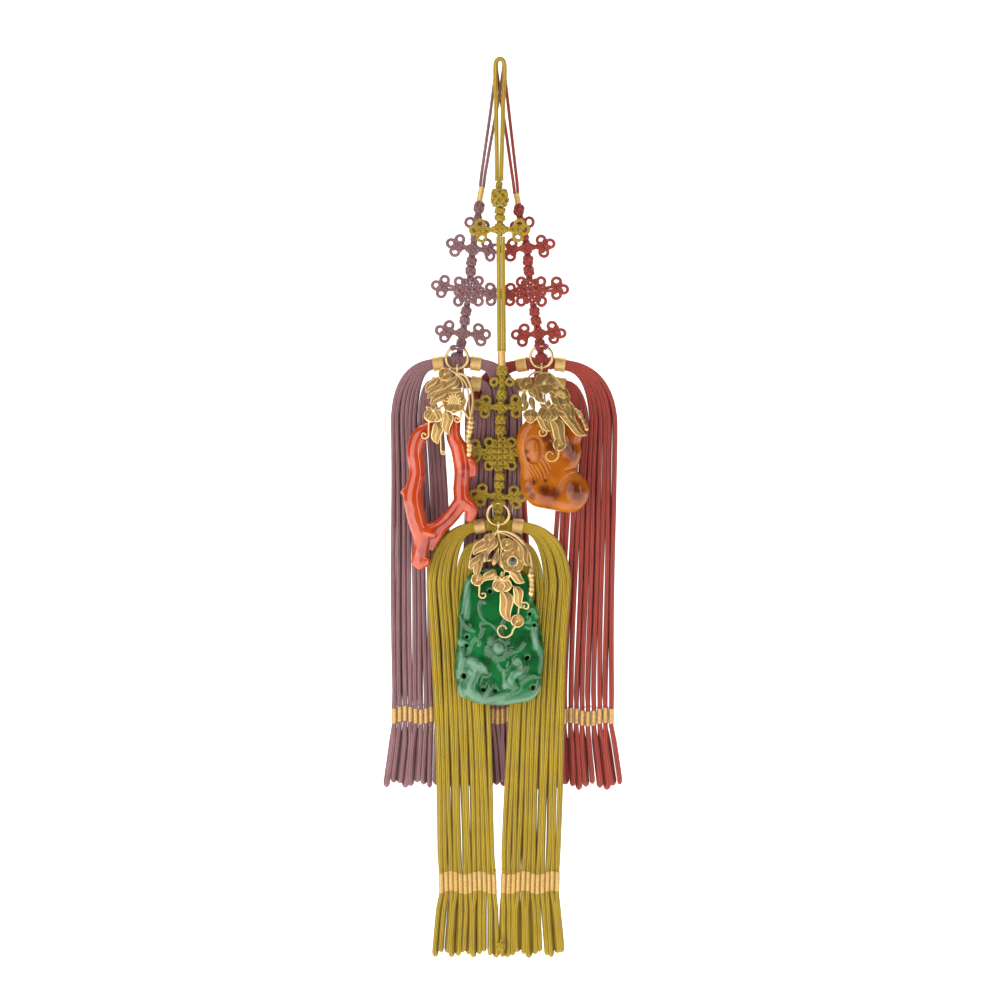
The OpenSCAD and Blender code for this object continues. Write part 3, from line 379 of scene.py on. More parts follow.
for colour, points in LOOP_ROUTES.items():
    radius = CORD_R if colour == "olive" else THIN_CORD_R
    route = even(points, 1.2)
    loop_cord = tubes(f"{colour}_hanging_loop", [route], radius, stitch=STITCH * radius / CORD_R, roundness=4)
    settle(loop_cord, SILKS[colour], f"{colour}_cord", "root", f"hang_loop_{colour}")

# Gold thread
# Where the two cords of a loop meet, and at the middle of the olive strand, they are bound with a fine
# thread wrapped in gilt foil. It is wound turn beside turn, so that the binding has a rib for each turn.
THREAD_R = 0.17
THREAD_PITCH = 0.31


def foil_thread(name, light, dark):
    """Gilt thread: foil that catches the light in small broken flashes."""
    material, tree, shader = new_material(name, {"Metallic": 0.75})
    flecks = noise(tree, object_place(tree), 1500, 2)
    give(tree, shader.inputs["Base Color"], blend(tree, flecks, dark, light))
    give(tree, shader.inputs["Roughness"], number(tree, "ADD", 0.25, number(tree, "MULTIPLY", flecks, 0.35)))
    raise_surface(tree, shader, flecks, 0.18, 0.06)
    return material


GOLD_THREAD = foil_thread("gilt thread", paint(255, 228, 160), paint(216, 170, 100))


def winding(low, high, half_wide, half_deep, wide_way, turns_apart=THREAD_PITCH, points=20):
    """Route of a thread wound round an oval bundle from low to high; wide_way is its wide direction."""
    low, high = Vector(low), Vector(high)
    axis = (high - low).normalized()
    wide = Vector(wide_way)
    wide = (wide - axis * wide.dot(axis)).normalized()
    deep = axis.cross(wide)
    turns = max(3, round((high - low).length / turns_apart))
    total = turns * points
    return [
        low.lerp(high, i / total)
        + wide * half_wide * math.cos(2 * math.pi * i / points)
        + deep * half_deep * math.sin(2 * math.pi * i / points)
        for i in range(total + 1)]


# Each binding: its two ends, and the radius of what it binds
BINDINGS = {
    "purple_top_wrap": ((-8.1, 1.7, -56.5), (-9.1, 1.7, -62.0), 1.25),
    "red_top_wrap": ((7.3, 3.6, -59.3), (8.0, 3.6, -63.0), 1.25),
    "olive_mid_wrap": ((0.7, -3.0, -129.6), (0.8, -3.0, -135.4), 1.6),
}
for node, (low, high, radius) in BINDINGS.items():
    # The last turns close up to the pieces above and below
    way = (Vector(high) - Vector(low)).normalized() * 0.35
    low, high = Vector(low) - way, Vector(high) + way
    core = tubes(f"{node}_core", [even([low, high], 1.0)], radius - THREAD_R)
    thread = tubes(f"{node}_thread", [winding(low, high, radius, radius, (1, 0, 0))], THREAD_R, roundness=0)
    settle(joined(f"{node}_thread", [core, thread]), GOLD_THREAD, "gold_thread", "root", node)

# Knots
# Each strand is a column of hand-tied knots of the same braided cord. Button and barrel knots are cords
# plaited round in a ring, row and diamond knots are flat weaves, and small clover knots with three loops
# stand at their sides. Everything is pulled tight, so the crossings show as rows of small cushions.
KNOT_CORD_R = 0.74
KNOT_LOOP_R = 1.8
KNOT_STITCH = 0.62
CLOVER_R = 1.6
# Distance from strand to strand in a row knot's front and back layer, and from one layer to the other
ROW_FRONT = 1.5
ROW_BACK = 1.4
ROW_LAYERS = 1.3
# A barrel is a stack of ring knots of about this height
BARREL_TURN = 3.9
# How far a woven strand runs on past the outermost crossing, as a part of the spacing
WEAVE_REACH = 0.62
DEPTHS = {"purple": 1.7, "red": 3.6, "olive": -3.0}
random.seed(7)


def ring_knot(low, high, radius, leads=3, bights=5, roundness=0.35, cord_r=KNOT_CORD_R, turn=0.0):
    """Route of a cord plaited round in a ring between two points: it runs from rim to rim as it goes round,
    and passes over and under itself by turns. roundness draws the rims in."""
    low, high = Vector(low), Vector(high)
    axis = (high - low).normalized()
    side = axis.cross(Vector((0, 1, 0))).normalized()
    front = axis.cross(side)
    half = max((high - low).length / 2 - cord_r, 0.3)
    count = bights * 18
    route = []
    for i in range(count):
        t = 2 * math.pi * i / count
        rim = math.cos(bights * t)
        over = math.sin((leads - 1) * bights * t)
        out = (radius - 1.55 * cord_r) * (1 - roundness * rim * rim) + 0.55 * cord_r * over
        angle = leads * t + turn
        route.append((low + high) / 2 + axis * half * rim + (
            side * math.cos(angle) + front * math.sin(angle)) * out)
    return route


def ways(angle):
    """Direction in the plane of the front; 0 is right and 90 is up."""
    return Vector((math.cos(math.radians(angle)), 0, math.sin(math.radians(angle))))


def weave(centre, turn, strands, spacing, lift):
    """Routes of a flat square weave of strands that pass over and under each other."""
    centre = Vector(centre)
    half = (strands - 1) / 2
    routes = []
    for across in (0, 1):
        along, aside = ways(turn + 90 * across), ways(turn + 90 * across + 90)
        for j in range(strands):
            steps = 6 * (strands - 1) + 8
            route = []
            for k in range(steps + 1):
                u = -WEAVE_REACH + (strands - 1 + 2 * WEAVE_REACH) * k / steps
                depth = -lift * math.cos(math.pi * (u + j + across))
                tuck = max(0, abs(u - half) - half - 0.25)
                route.append(centre + along * (u - half) * spacing + aside * (j - half) * spacing
                             + Vector((0, depth + 1.6 * tuck * tuck, 0)))
            routes.append(route)
    return routes


def small_loop(centre, radius=KNOT_LOOP_R):
    """Route of a small closed loop of cord in the plane of the front, not quite round or flat."""
    stretch, lean, tip = random.uniform(0.94, 1.08), random.uniform(-40, 40), random.uniform(-0.2, 0.2)
    return [
        Vector(centre) + ways(angle + lean) * radius * (1 + (stretch - 1) * math.cos(math.radians(2 * angle)))
        + Vector((0, tip * math.sin(math.radians(angle)), 0))
        for angle in range(0, 360, 20)]


class Knot:
    """Collects the routes of one knot, and makes its piece. The node's name starts with its strand."""

    def __init__(self, node):
        self.node = node
        self.strand = node.split("_")[0]
        self.depth = DEPTHS[self.strand]
        self.open_routes = []
        self.rings = []

    def at(self, x, z):
        return Vector((x, self.depth, z))

    def ring(self, low, high, radius, **shape):
        self.rings.append(ring_knot(self.at(*low), self.at(*high), radius, **shape))

    def barrel(self, low, high, radius):
        """Ring knots one after the other, with the cords that run through them."""
        low, high = self.at(*low), self.at(*high)
        count = max(1, round((high - low).length / BARREL_TURN))
        for i in range(count):
            a, b = low.lerp(high, i / count), low.lerp(high, (i + 1) / count)
            self.rings.append(ring_knot(a, b, radius, turn=0.9 * i, roundness=0.16))
        beyond = (high - low).normalized() * 1.7
        for side in (-0.75, 0.75):
            across = Vector((side, 0.3, 0))
            self.open_routes.append(even([low - beyond + across, high + beyond + across], 1.0))

    def ball(self, place, radius):
        centre = self.at(*place)
        half = Vector((0, 0, radius))
        self.rings.append(ring_knot(centre + half, centre - half, radius, roundness=0.62))
        reach = half.normalized() * (radius + 1.6)
        self.open_routes.append(even([centre + reach, centre - reach], 1.0))

    def clover(self, place, angles):
        """Small knot with a loop at each angle."""
        centre = self.at(*place)
        self.open_routes += weave(centre, angles[0] + 45, 2, 1.45, lift=0.55)
        # Bends in the corners, where the cord turns back
        for corner in (45, 135, 225, 315):
            self.rings.append(small_loop(centre + ways(angles[0] + corner) * 1.9, 0.72))
        for angle in angles:
            self.rings.append(small_loop(centre + ways(angle) * (CLOVER_R + KNOT_LOOP_R - 0.5)))

    def arms(self, centre, clovers):
        """Clover knots at the sides, each tied to the middle by two cords."""
        middle = self.at(*centre)
        for x, z, angles in clovers:
            end = self.at(x, z)
            way = (end - middle).normalized()
            side = Vector((-way.z, 0, way.x)) * 0.75
            for s in (-1, 1):
                twist = Vector((0, 0.4 * s, 0))
                self.open_routes.append(even(
                    [middle + side * s, middle.lerp(end, 0.35) + side * s + twist,
                     middle.lerp(end, 0.65) - side * s - twist, end - side * s], 0.8))
            self.clover((x, z), angles)

    def row(self, centre, clovers):
        """Two layers of weave, one behind the other, with a clover knot at each side."""
        behind = self.at(*centre) + Vector((0, ROW_LAYERS, 0))
        self.open_routes += weave(self.at(*centre), 45, 3, ROW_FRONT, lift=0.6)
        self.open_routes += weave(behind, 45, 3, ROW_BACK, lift=0.5)
        self.arms(centre, clovers)

    def diamond(self, centre, half_diagonal, lean, loops, clovers):
        """Woven square on its corner; the cord turns back in a small bend between every two strands."""
        middle = self.at(*centre)
        strands = round(half_diagonal * math.sqrt(2) / 1.9)
        spacing = (half_diagonal * math.sqrt(2) - 1.6) / (strands - 1)
        self.open_routes += weave(middle, 45 - lean, strands, spacing, lift=0.62)
        half = (strands - 1) / 2
        for across in range(4):
            along, aside = ways(45 - lean + 90 * across), ways(135 - lean + 90 * across)
            for j in range(across % 2, strands - 1, 2):
                bend = middle + along * (half + 0.45) * spacing + aside * (j + 0.5 - half) * spacing
                self.open_routes.append([
                    bend + (along * math.sin(a) + aside * math.cos(a)) * spacing / 2
                    for a in (math.pi * k / 8 for k in range(9))])
        for x, z in loops:
            self.rings.append(small_loop(self.at(x, z)))
        self.arms(centre, clovers)

    def finish(self):
        """Makes the knot's piece, of cord that runs on and of cord that closes on itself."""
        made = []
        if self.open_routes:
            made.append(tubes(self.node, self.open_routes, KNOT_CORD_R, stitch=KNOT_STITCH))
        if self.rings:
            made.append(tubes(self.node, self.rings, KNOT_CORD_R, closed=True, stitch=KNOT_STITCH))
        settle(joined(f"{self.node}_cords", made), SILKS[self.strand], f"{self.strand}_cord", "root",
               self.node)


# Side strands: each knot's ends in x and z, its radius, and for its loops and clovers their places and angles
for strand, button, neck, neck_loops in (
        ("purple", (-9.3, -65.1), ((-9.7, -68.3), (-11.6, -80.4)), ((-13.4, -71.8), (-7.0, -73.4))),
        ("red", (8.4, -66.2), ((8.9, -69.4), (11.4, -79.6)), ((13.0, -71.6), (6.8, -73.6)))):
    knot = Knot(f"{strand}_button_knot")
    knot.ball(button, 2.9)
    knot.finish()
    knot = Knot(f"{strand}_neck_knot")
    knot.barrel(*neck, 2.1)
    for place in neck_loops:
        knot.rings.append(small_loop(knot.at(*place), 1.9))
    knot.finish()

ROWS = {
    "purple_row_1": ((-12.0, -83.8), [(-18.9, -82.2, [70, 160, 245]), (-4.9, -84.0, [110, 10, 280])]),
    "purple_row_3": ((-16.6, -121.2), [(-23.7, -120.4, [70, 170, 250]), (-9.3, -121.9, [95, 5, 285])]),
    "red_row_1": ((12.0, -83.0), [(19.5, -82.2, [115, 20, 270]), (4.9, -84.0, [80, 170, 265])]),
    "red_row_3": ((17.2, -121.2), [(24.2, -120.6, [110, -10, 265]), (10.2, -121.9, [80, 175, 265])]),
    "olive_crown_knot": ((0, -75.0), [(-8.4, -75.8, [98, 172, 276]), (8.2, -75.6, [82, 6, 264])]),
    "olive_row_1": ((0.4, -154.3), [(-7.0, -153.7, [75, 165, 275]), (7.5, -153.7, [100, 10, 265])]),
    "olive_row_2": ((-0.8, -193.8), [(-8.4, -193.0, [80, 175, 265]), (6.5, -194.0, [95, 5, 280])]),
}
# Barrels that belong to a row knot, just under it
ROW_TAILS = {
    "purple_row_3": ((-17.0, -123.6), (-17.8, -129.0), 2.6),
    "red_row_3": ((17.4, -123.6), (18.0, -129.0), 2.6),
    "olive_row_2": ((-0.8, -196.0), (-0.7, -201.2), 2.5),
}
BARRELS = {
    "purple_barrel_1": ((-12.5, -87.2), (-13.2, -95.6), 2.7),
    "purple_barrel_2": ((-14.8, -109.4), (-16.0, -117.6), 2.7),
    "red_barrel_1": ((12.3, -86.4), (13.0, -95.6), 2.7),
    "red_barrel_2": ((15.0, -109.4), (16.4, -117.6), 2.7),
    "olive_barrel_1": ((0.8, -135.6), (0.9, -140.2), 2.7),
    "olive_barrel_2": ((0.9, -146.1), (0.6, -151.0), 2.7),
    "olive_barrel_3": ((0.4, -157.6), (0.2, -166.4), 2.8),
    "olive_barrel_4": ((0, -183.2), (-0.5, -190.4), 2.7),
}
DIAMONDS = {
    "purple_row_2": (
        (-13.8, -102.4), 6.4, 7, [(-18.2, -98.3), (-9.6, -97.9), (-18.6, -106.9), (-9.6, -106.9)],
        [(-25.4, -100.4, [75, 170, 255]), (-3.8, -103.8, [100, 5, 265])]),
    "red_row_2": (
        (13.8, -102.4), 6.4, -7, [(18.2, -98.1), (9.4, -98.2), (18.6, -106.9), (9.4, -106.8)],
        [(25.4, -101.0, [95, -10, 265]), (4.1, -103.8, [80, 175, 275])]),
    "olive_diamond_knot": (
        (0.2, -174.9), 7.6, 0, [(-4.8, -169.7), (5.2, -169.7), (-4.9, -179.9), (5.2, -179.9)],
        [(-10.6, -173.4, [100, 260]), (10.8, -174.4, [80, 280])]),
}
for node, (centre, clovers) in ROWS.items():
    knot = Knot(node)
    knot.row(centre, clovers)
    if node in ROW_TAILS:
        knot.barrel(*ROW_TAILS[node])
    knot.finish()
for node, ends in BARRELS.items():
    knot = Knot(node)
    knot.barrel(*ends)
    knot.finish()
for node, shape in DIAMONDS.items():
    knot = Knot(node)
    knot.diamond(*shape)
    knot.finish()

# The olive strand's own knots: a bud of cord looped over a ring knot, and a knot with a loop at each side
knot = Knot("olive_bud_knot")
knot.ball((-0.4, -55.6), 1.9)
knot.ring((-0.3, -56.9), (0, -65.6), 4.6, leads=5, bights=6, roundness=0.3, cord_r=0.9)
knot.ring((-0.2, -58.0), (0, -65.0), 3.6, leads=4, bights=5, roundness=0.3, cord_r=0.9)
knot.barrel((0, -65.4), (0, -71.6), 2.7)
knot.finish()
knot = Knot("olive_pair_knot")
knot.open_routes += weave(knot.at(0.9, -143.2), 45, 2, 1.6, lift=0.7)
knot.open_routes += weave(knot.at(0.9, -143.2) + Vector((0, 1.2, 0)), 45, 2, 1.6, lift=0.5)
for angle in (5, 175):
    knot.rings.append(small_loop(knot.at(0.9, -143.2) + ways(angle) * 3.5, 1.5))
knot.finish()
y = DEPTHS["olive"]
pair = [even([(0.3 + s, y, -78.4), (0.7 + s, y, -129.4)], 1.2) for s in (-1.0, 1.0)]
settle(tubes("olive_straight_cords_pair", pair, CORD_R, roundness=4), SILKS["olive"], "olive_cord", "root",
       "olive_straight_cords")

# Rings and their ties
# A plain gold ring hangs in front of each tassel's head, and the pendant's cap is hooked into it.
# Two lashes hold it near its top: bunches of silk thread on the side strands, and on the olive one
# a thin braided cord with a stretch left hanging between its lashes.
RING_R = 4.8
WIRE_R = 0.65
RING_FORWARD = 4.5
TIE_ANGLE = 22
RINGS = {"purple": (-19.1, -132.2), "red": (18.4, -131.6), "olive": (-0.8, -201.5)}


def spread(tree, value, low, high, top=1.0, kind="LINEAR"):
    """Output that goes from 0 to the top as the value goes from low to high."""
    node = tree.nodes.new("ShaderNodeMapRange")
    node.interpolation_type = kind
    for name, given in (("Value", value), ("From Min", low), ("From Max", high), ("To Max", top)):
        give(tree, node.inputs[name], given)
    return node.outputs["Result"]


# Grain and painted shade of gold: a fine grain all over, and painted shade in the hollows, where the
# attribute given is near 0
gold_grain_and_shade, gold_grain_and_shade_in, gold_grain_and_shade_out = new_group(
    "gold grain and hollow shade",
    {"Place": "NodeSocketVector", "Scale": "NodeSocketFloat", "Hollow Shade": "NodeSocketFloat"},
    {"Amount": "NodeSocketFloat", "Grain": "NodeSocketFloat"})
grain = noise(gold_grain_and_shade, gold_grain_and_shade_in.outputs["Place"], gold_grain_and_shade_in.outputs["Scale"], 4)
# Painted shade: the colour darkens where the attribute marks a hollow
hollows = spread(gold_grain_and_shade, gold_grain_and_shade_in.outputs["Hollow Shade"], 0.54, 0.12)
gold_grain_and_shade.links.new(number(gold_grain_and_shade, "ADD", number(gold_grain_and_shade, "MULTIPLY", grain, 0.25), hollows), gold_grain_and_shade_out.inputs["Amount"])
gold_grain_and_shade.links.new(grain, gold_grain_and_shade_out.inputs["Grain"])


def gold(name, light, dark, roughness, scale=700, cast=True):
    """Gold with a fine grain that dulls and darkens it; cast gold also has painted shade, dull and dark, in
    its hollows, read from an attribute.
    """
    material, tree, shader = new_material(name, {"Metallic": 1.0})
    dirt = 1.0
    if cast:
        attribute = tree.nodes.new("ShaderNodeAttribute")
        attribute.attribute_name = "dirt"
        dirt = attribute.outputs["Fac"]
    grain_and_shade = placed(tree, gold_grain_and_shade, {"Place": object_place(tree), "Scale": scale, "Hollow Shade": dirt})
    give(tree, shader.inputs["Base Color"], blend(tree, grain_and_shade.outputs["Amount"], light, dark))
    give(tree, shader.inputs["Roughness"],
         number(tree, "ADD", roughness, number(tree, "MULTIPLY", grain_and_shade.outputs["Amount"], 0.25)))
    raise_surface(tree, shader, grain_and_shade.outputs["Grain"], 0.25, 0.05)
    return material


RING_GOLD = gold("ring gold", paint(222, 190, 128), paint(176, 138, 80), 0.24, scale=150, cast=False)
for strand in RINGS:
    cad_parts[f"{strand}_ring"].material_slots[0].material = RING_GOLD

# As for the cords: painted shade between the stitches, then painted light on their crowns
TIE_SILKS = {
    "purple": silk("purple tie thread", paint(96, 58, 84), paint(190, 140, 170)),
    "red": silk("red tie thread", paint(110, 22, 52), paint(206, 80, 110)),
    "olive": SILKS["olive"],
}
# Turns in a lash, and radius of its thread
LASHES = {"purple": (6, 0.2), "red": (4, 0.28), "olive": (3, 0.34)}
for strand, (x, z) in RINGS.items():
    turns, thread_r = LASHES[strand]
    middle = Vector((x, DEPTHS[strand] - RING_FORWARD, z))
    reach = WIRE_R + 0.27 + thread_r
    # Each turn goes round the ring's wire, and back behind it to the head
    lashes = []
    for side in (-1, 1):
        for turn in range(turns):
            angle = 90 - side * TIE_ANGLE + math.degrees((turn - (turns - 1) / 2) * 1.9 * thread_r / RING_R)
            out = ways(angle)
            lashes.append([
                middle + out * (RING_R + reach * math.sin(a)) + Vector((
                    0, reach * math.cos(a) + 1.1 * max(0, math.cos(a)), 0))
                for a in (math.radians(24 * k) for k in range(15))])
    made = [tubes("lashes", lashes, thread_r, closed=True, stitch=0.5)]
    hanging = even([
        middle + ways(90 + angle) * (RING_R + out) + Vector((0, -0.5 - 0.3 * (angle == 0), 0))
        for angle, out in ((TIE_ANGLE, 1.3), (TIE_ANGLE / 2, 0.75), (0, 0.5), (-TIE_ANGLE / 2, 0.75),
                           (-TIE_ANGLE, 1.3))], 0.5)
    made.append(tubes("hanging_stretch", [hanging], thread_r, stitch=0.5))
    settle(joined(f"{strand}_ring_lashes", made), TIE_SILKS[strand], f"{strand}_cord", "root",
           f"{strand}_ring_tie")

# Tassels
# Each tassel hangs from a plaited head with two bundles of cord out of each side. Beyond a gilt binding
# the cords of a bundle fan out in nested arcs and fall straight. Each cord is doubled: it ends in a
# closed loop, above which its two runs are bound together with gilt thread.
SIDE_LEGS = 12
STRAND_R = 1.08
# Room for the outermost cord inside its bundle's height
STRAND_ROOM = 1.1
BUNDLE_H = 5.6
BUNDLE_DROP = 9.0
BUNDLE_SLOPE = math.tan(math.radians(8))
WRAP_OUT = 8.4
WRAP_LEN = 5.0
BUNDLE_OUT = WRAP_OUT + WRAP_LEN / 2
LEG_START = BUNDLE_OUT + 0.3
# Height over which an innermost leg turns down, and how much more an outermost one takes
TURN_DOWN = 18
TURN_DOWN_MORE = 11
# How far the ends and the gilt bindings of the legs stand out of line
ENDS_UNEVEN = 1.3
WRAPS_UNEVEN = 0.8
# A leg's two runs are drawn together over this height above and below its binding
GATHER = 7
# Distance between neighbouring legs under the arcs, and between the two runs of a leg, one behind the other
LEG_PITCH = 2.0
RUNS_APART = 2.24
HEAD_CORD_R = 0.85
# Gilt binding of a leg: its thread's radius and pitch, and half its width and depth
LEG_THREAD_R = 0.25
LEG_THREAD_PITCH = 0.47
LEG_WRAP_WIDE = 1.16
LEG_WRAP_DEEP = 2.3
LACING_R = 0.17
# The middle of each head, the depth of the legs and how far they reach out (left, right), the height of
# their ends, the middle and height of their gilt bindings, and the part of their reach left there
FORMS = {
    "purple": {"x": -19.1, "z": -133.4, "head_y": DEPTHS["purple"], "leg_y": (1.7, 1.7),
               "reach": (29.6, 29.0), "end_z": -322, "wrap_z": -291, "wrap_h": 7, "drawn_in": 0.98},
    "red": {"x": 18.4, "z": -133.8, "head_y": DEPTHS["red"], "leg_y": (6.5, 3.6),
            "reach": (33.6, 33.6), "end_z": -323, "wrap_z": -292, "wrap_h": 7, "drawn_in": 0.96},
    "olive": {"x": -0.6, "z": -205.8, "head_y": DEPTHS["olive"], "leg_y": (-3.0, -3.0),
              "reach": (31.4, 32.0), "end_z": -397, "wrap_z": -365, "wrap_h": 9, "drawn_in": 0.82},
}


def bundle_point(form, side, lower, out):
    """Point in the middle of a bundle, at a distance out from the head's middle."""
    y = form["head_y"] + (form["leg_y"][side > 0] - form["head_y"]) * min(1, out / BUNDLE_OUT)
    return Vector((form["x"] + side * out, y,
                   form["z"] - (BUNDLE_DROP if lower else 0) - out * BUNDLE_SLOPE))


def leg_line(form, side, i):
    """Middle line of leg i, counted from the outermost, from inside the head to its end."""
    lower = i >= SIDE_LEGS / 2
    k = i % (SIDE_LEGS // 2)
    rise = Vector((0, 0, (BUNDLE_H / 2 - STRAND_ROOM) * (1 - 2 * k / (SIDE_LEGS / 2 - 1))))
    start = bundle_point(form, side, lower, LEG_START) + rise
    x, y, reach = form["x"], start.y, form["reach"][side > 0]
    out = reach - (i + 0.5) * LEG_PITCH
    low_out = (reach - (i + 0.5) * reach / SIDE_LEGS) * form["drawn_in"]
    fall = TURN_DOWN + TURN_DOWN_MORE * out / reach
    end_z = form["end_z"] + ENDS_UNEVEN * math.sin(math.radians(97 * i + 50 * side))
    over = max(4.2, 0.62 * (out - BUNDLE_OUT))
    corners = (
        start, Vector((start.x + side * over, y, start.z - over * BUNDLE_SLOPE)),
        Vector((x + side * out, y, start.z - 0.4 * fall)), Vector((x + side * out, y, start.z - fall)))
    line = [bundle_point(form, side, lower, at) + rise for at in (1.5, 5, 8)]
    for step in range(9):
        t = step / 8
        line.append(sum((c * w for c, w in zip(corners, (
            (1 - t) ** 3, 3 * (1 - t) ** 2 * t, 3 * (1 - t) * t * t, t ** 3))), Vector()))
    for u in (0.15, 0.3, 0.45, 0.6, 0.75, 0.9, 1):
        drawn = x + side * (out + (low_out - out) * u ** 0.65)
        line.append(Vector((drawn, y, corners[3].z - u * (corners[3].z - end_z))))
    return line


def leg_cord(form, side, i):
    """Route of a doubled cord down one run, round its end loop and up the other, with its radii."""
    wrap_z, wrap_h = form["wrap_z"], form["wrap_h"]
    line = even(leg_line(form, side, i), 2.4)[:-1]
    aside = random.uniform(0.0, 0.3) * random.choice((-1, 1))
    opening = random.uniform(0.1, 0.75) * random.choice((-1, 1))
    phase = random.uniform(0, 6.28)
    runs, sizes = ([], []), []
    for k, place in enumerate(line):
        above = place.z - wrap_z
        free = min(1, max(0, abs(above) - wrap_h / 2) / GATHER) ** 1.3 * min(1, max(0, k - 5) / 12)
        apart = free * (aside if above > 0 else opening)
        sway = free * 0.3 * math.sin(0.05 * place.z + phase)
        flare = (place.x - form["x"]) * 0.005 * max(0, -above - wrap_h / 2)
        for run, way in zip(runs, (-1, 1)):
            run.append(place + Vector((sway + flare + way * apart, way * RUNS_APART / 2, 0)))
        sizes.append(0.66 + 0.34 * min(1, max(0, k - 4) / 6))
    middle = (runs[0][-1] + runs[1][-1]) / 2
    half = runs[0][-1] - middle
    bend = [middle + half * math.cos(a) - Vector((0, 0, 1.25 * half.length * math.sin(a)))
            for a in (math.pi * k / 6 for k in range(1, 6))]
    return runs[0] + bend + runs[1][::-1], sizes + [1.0] * len(bend) + sizes[::-1]


def leg_depth(form, across):
    """Depth of the legs at a distance to the right of the head's middle."""
    left_y, right_y = form["leg_y"]
    part = min(1, max(0, across / 6 + 0.5))
    return left_y + (right_y - left_y) * part


# Thin silks as well: painted shade between the stitches, then painted light on their crowns
LACINGS = {
    "purple": silk("navy lacing thread", paint(14, 14, 46), paint(58, 56, 120)),
    "red": silk("dark red lacing thread", paint(40, 6, 10), paint(120, 40, 40)),
    "olive": silk("brown lacing thread", paint(60, 42, 14), paint(150, 118, 48)),
}
# Where the cord's two ends meet in a knot: the middle of the knot and the tip of its tail
END_KNOTS = {
    "red": ((26.7, 3.4, -318.9), (27.2, 3.2, -324.2)),
    "olive": ((0.4, -5.6, -393.0), (1.2, -5.8, -397.7)),
}
for strand, form in FORMS.items():
    x, z, head_y, wrap_z, wrap_h = (form[key] for key in ("x", "z", "head_y", "wrap_z", "wrap_h"))
    legs = [leg_cord(form, side, i) for side in (-1, 1) for i in range(SIDE_LEGS)]
    made = [tubes("legs", [leg[0] for leg in legs], STRAND_R, swell=[leg[1] for leg in legs])]
    # The head, plaited round both bundles and flattened from front to back
    head = ring_knot((x, head_y, z + 4.0), (x, head_y, z - BUNDLE_DROP - 3.4), 3.5, leads=5, bights=8,
                     roundness=0.3, cord_r=HEAD_CORD_R)
    for point in head:
        point.y = head_y + 0.66 * (point.y - head_y)
    made.append(tubes("head", [head], HEAD_CORD_R, closed=True))
    # Cord wound round each bundle between the head and the gilt binding
    rolls = [
        winding(bundle_point(form, side, lower, 3.6), bundle_point(form, side, lower, 5.0), 2.3, 1.7,
                (0, 0, 1), turns_apart=0.5)
        for side in (-1, 1) for lower in (False, True)]
    made.append(tubes("rolls", rolls, 0.6))
    if strand in END_KNOTS:
        middle, tip = (Vector(place) for place in END_KNOTS[strand])
        up = Vector((0.2, 0, 1))
        turns = ring_knot(middle - up * 2.1, middle + up * 2.1, 2.4, roundness=0.5, cord_r=HEAD_CORD_R)
        made.append(tubes("end_knot", [turns], HEAD_CORD_R, closed=True))
        made.append(tubes("end_tail", [even([middle + up * 3.4, middle, tip], 0.8)], 0.9))
    settle(joined(f"{strand}_tassel_cords", made), SILKS[strand], f"{strand}_cord", "root",
           f"{strand}_tassel")

    bindings = [
        winding(bundle_point(form, side, lower, WRAP_OUT - WRAP_LEN / 2 + THREAD_R),
                bundle_point(form, side, lower, BUNDLE_OUT - THREAD_R), BUNDLE_H / 2 + 0.4, 2.5, (0, 0, 1))
        for side in (-1, 1) for lower in (False, True)]
    settle(tubes(f"{strand}_head_binding", bindings, THREAD_R, roundness=0), GOLD_THREAD, "gold_thread",
           "root", f"{strand}_head_wraps")

    bindings = []
    for side in (-1, 1):
        for i in range(SIDE_LEGS):
            line = leg_line(form, side, i)
            middle = wrap_z + WRAPS_UNEVEN * math.sin(math.radians(61 * i + 30 * side))
            a, b = next((a, b) for a, b in zip(line, line[1:]) if b.z <= middle <= a.z)
            centre = a.lerp(b, (middle - a.z) / (b.z - a.z))
            up = (a - b).normalized() * (wrap_h / 2 - LEG_THREAD_R)
            bindings.append(winding(
                centre - up, centre + up, LEG_WRAP_WIDE, LEG_WRAP_DEEP, (1, 0, 0), LEG_THREAD_PITCH, 10))
    settle(tubes(f"{strand}_leg_bindings", bindings, LEG_THREAD_R, roundness=0), GOLD_THREAD, "gold_thread",
           "root", f"{strand}_leg_wraps")

    # A thin thread laced in front of and behind the legs just above their bindings keeps them in a row
    span = [reach * form["drawn_in"] for reach in form["reach"]]
    laced = []
    for k in range(4 * SIDE_LEGS + 1):
        across = -span[0] + (span[0] + span[1]) * k / (4 * SIDE_LEGS)
        laced.append((x + across, leg_depth(form, across) - 2.4 * math.cos(math.pi * k),
                      wrap_z + wrap_h / 2 + 1.1 + 0.35 * math.sin(1.3 * k)))
    settle(tubes(f"{strand}_lacing_thread", [even(laced, 0.5)], LACING_R, stitch=0.5), LACINGS[strand],
           f"{strand}_cord", "root", f"{strand}_tassel")

# Coral
# A polished branch of red coral: two limbs that part under the cap and meet again round an open hole,
# with short nubs where twigs were cut off, and a thick tail. Its gloss is the polish of the coral itself.
CORAL_Y = -9.2


def limb(rows, depth):
    """Route and radii of a limb with round ends; rows hold x, z, radius and how far it stands forward."""
    smooth = even([(x, depth - forward, z, radius) for x, z, radius, forward in rows], 0.7)
    route = [point.xyz for point in smooth]
    radii = [point.w for point in smooth]
    for _ in (0, 1):
        way = (route[-1] - route[-2]).normalized()
        tip, radius = route[-1], radii[-1]
        for angle in (25, 50, 70, 84):
            route.append(tip + way * radius * math.sin(math.radians(angle)))
            radii.append(radius * math.cos(math.radians(angle)))
        route.reverse()
        radii.reverse()
    return route, radii


def limbs(name, tables, depth):
    made = [limb(rows, depth) for rows in tables]
    return tubes(name, [route for route, _ in made], 1.0, roundness=6, swell=[radii for _, radii in made])


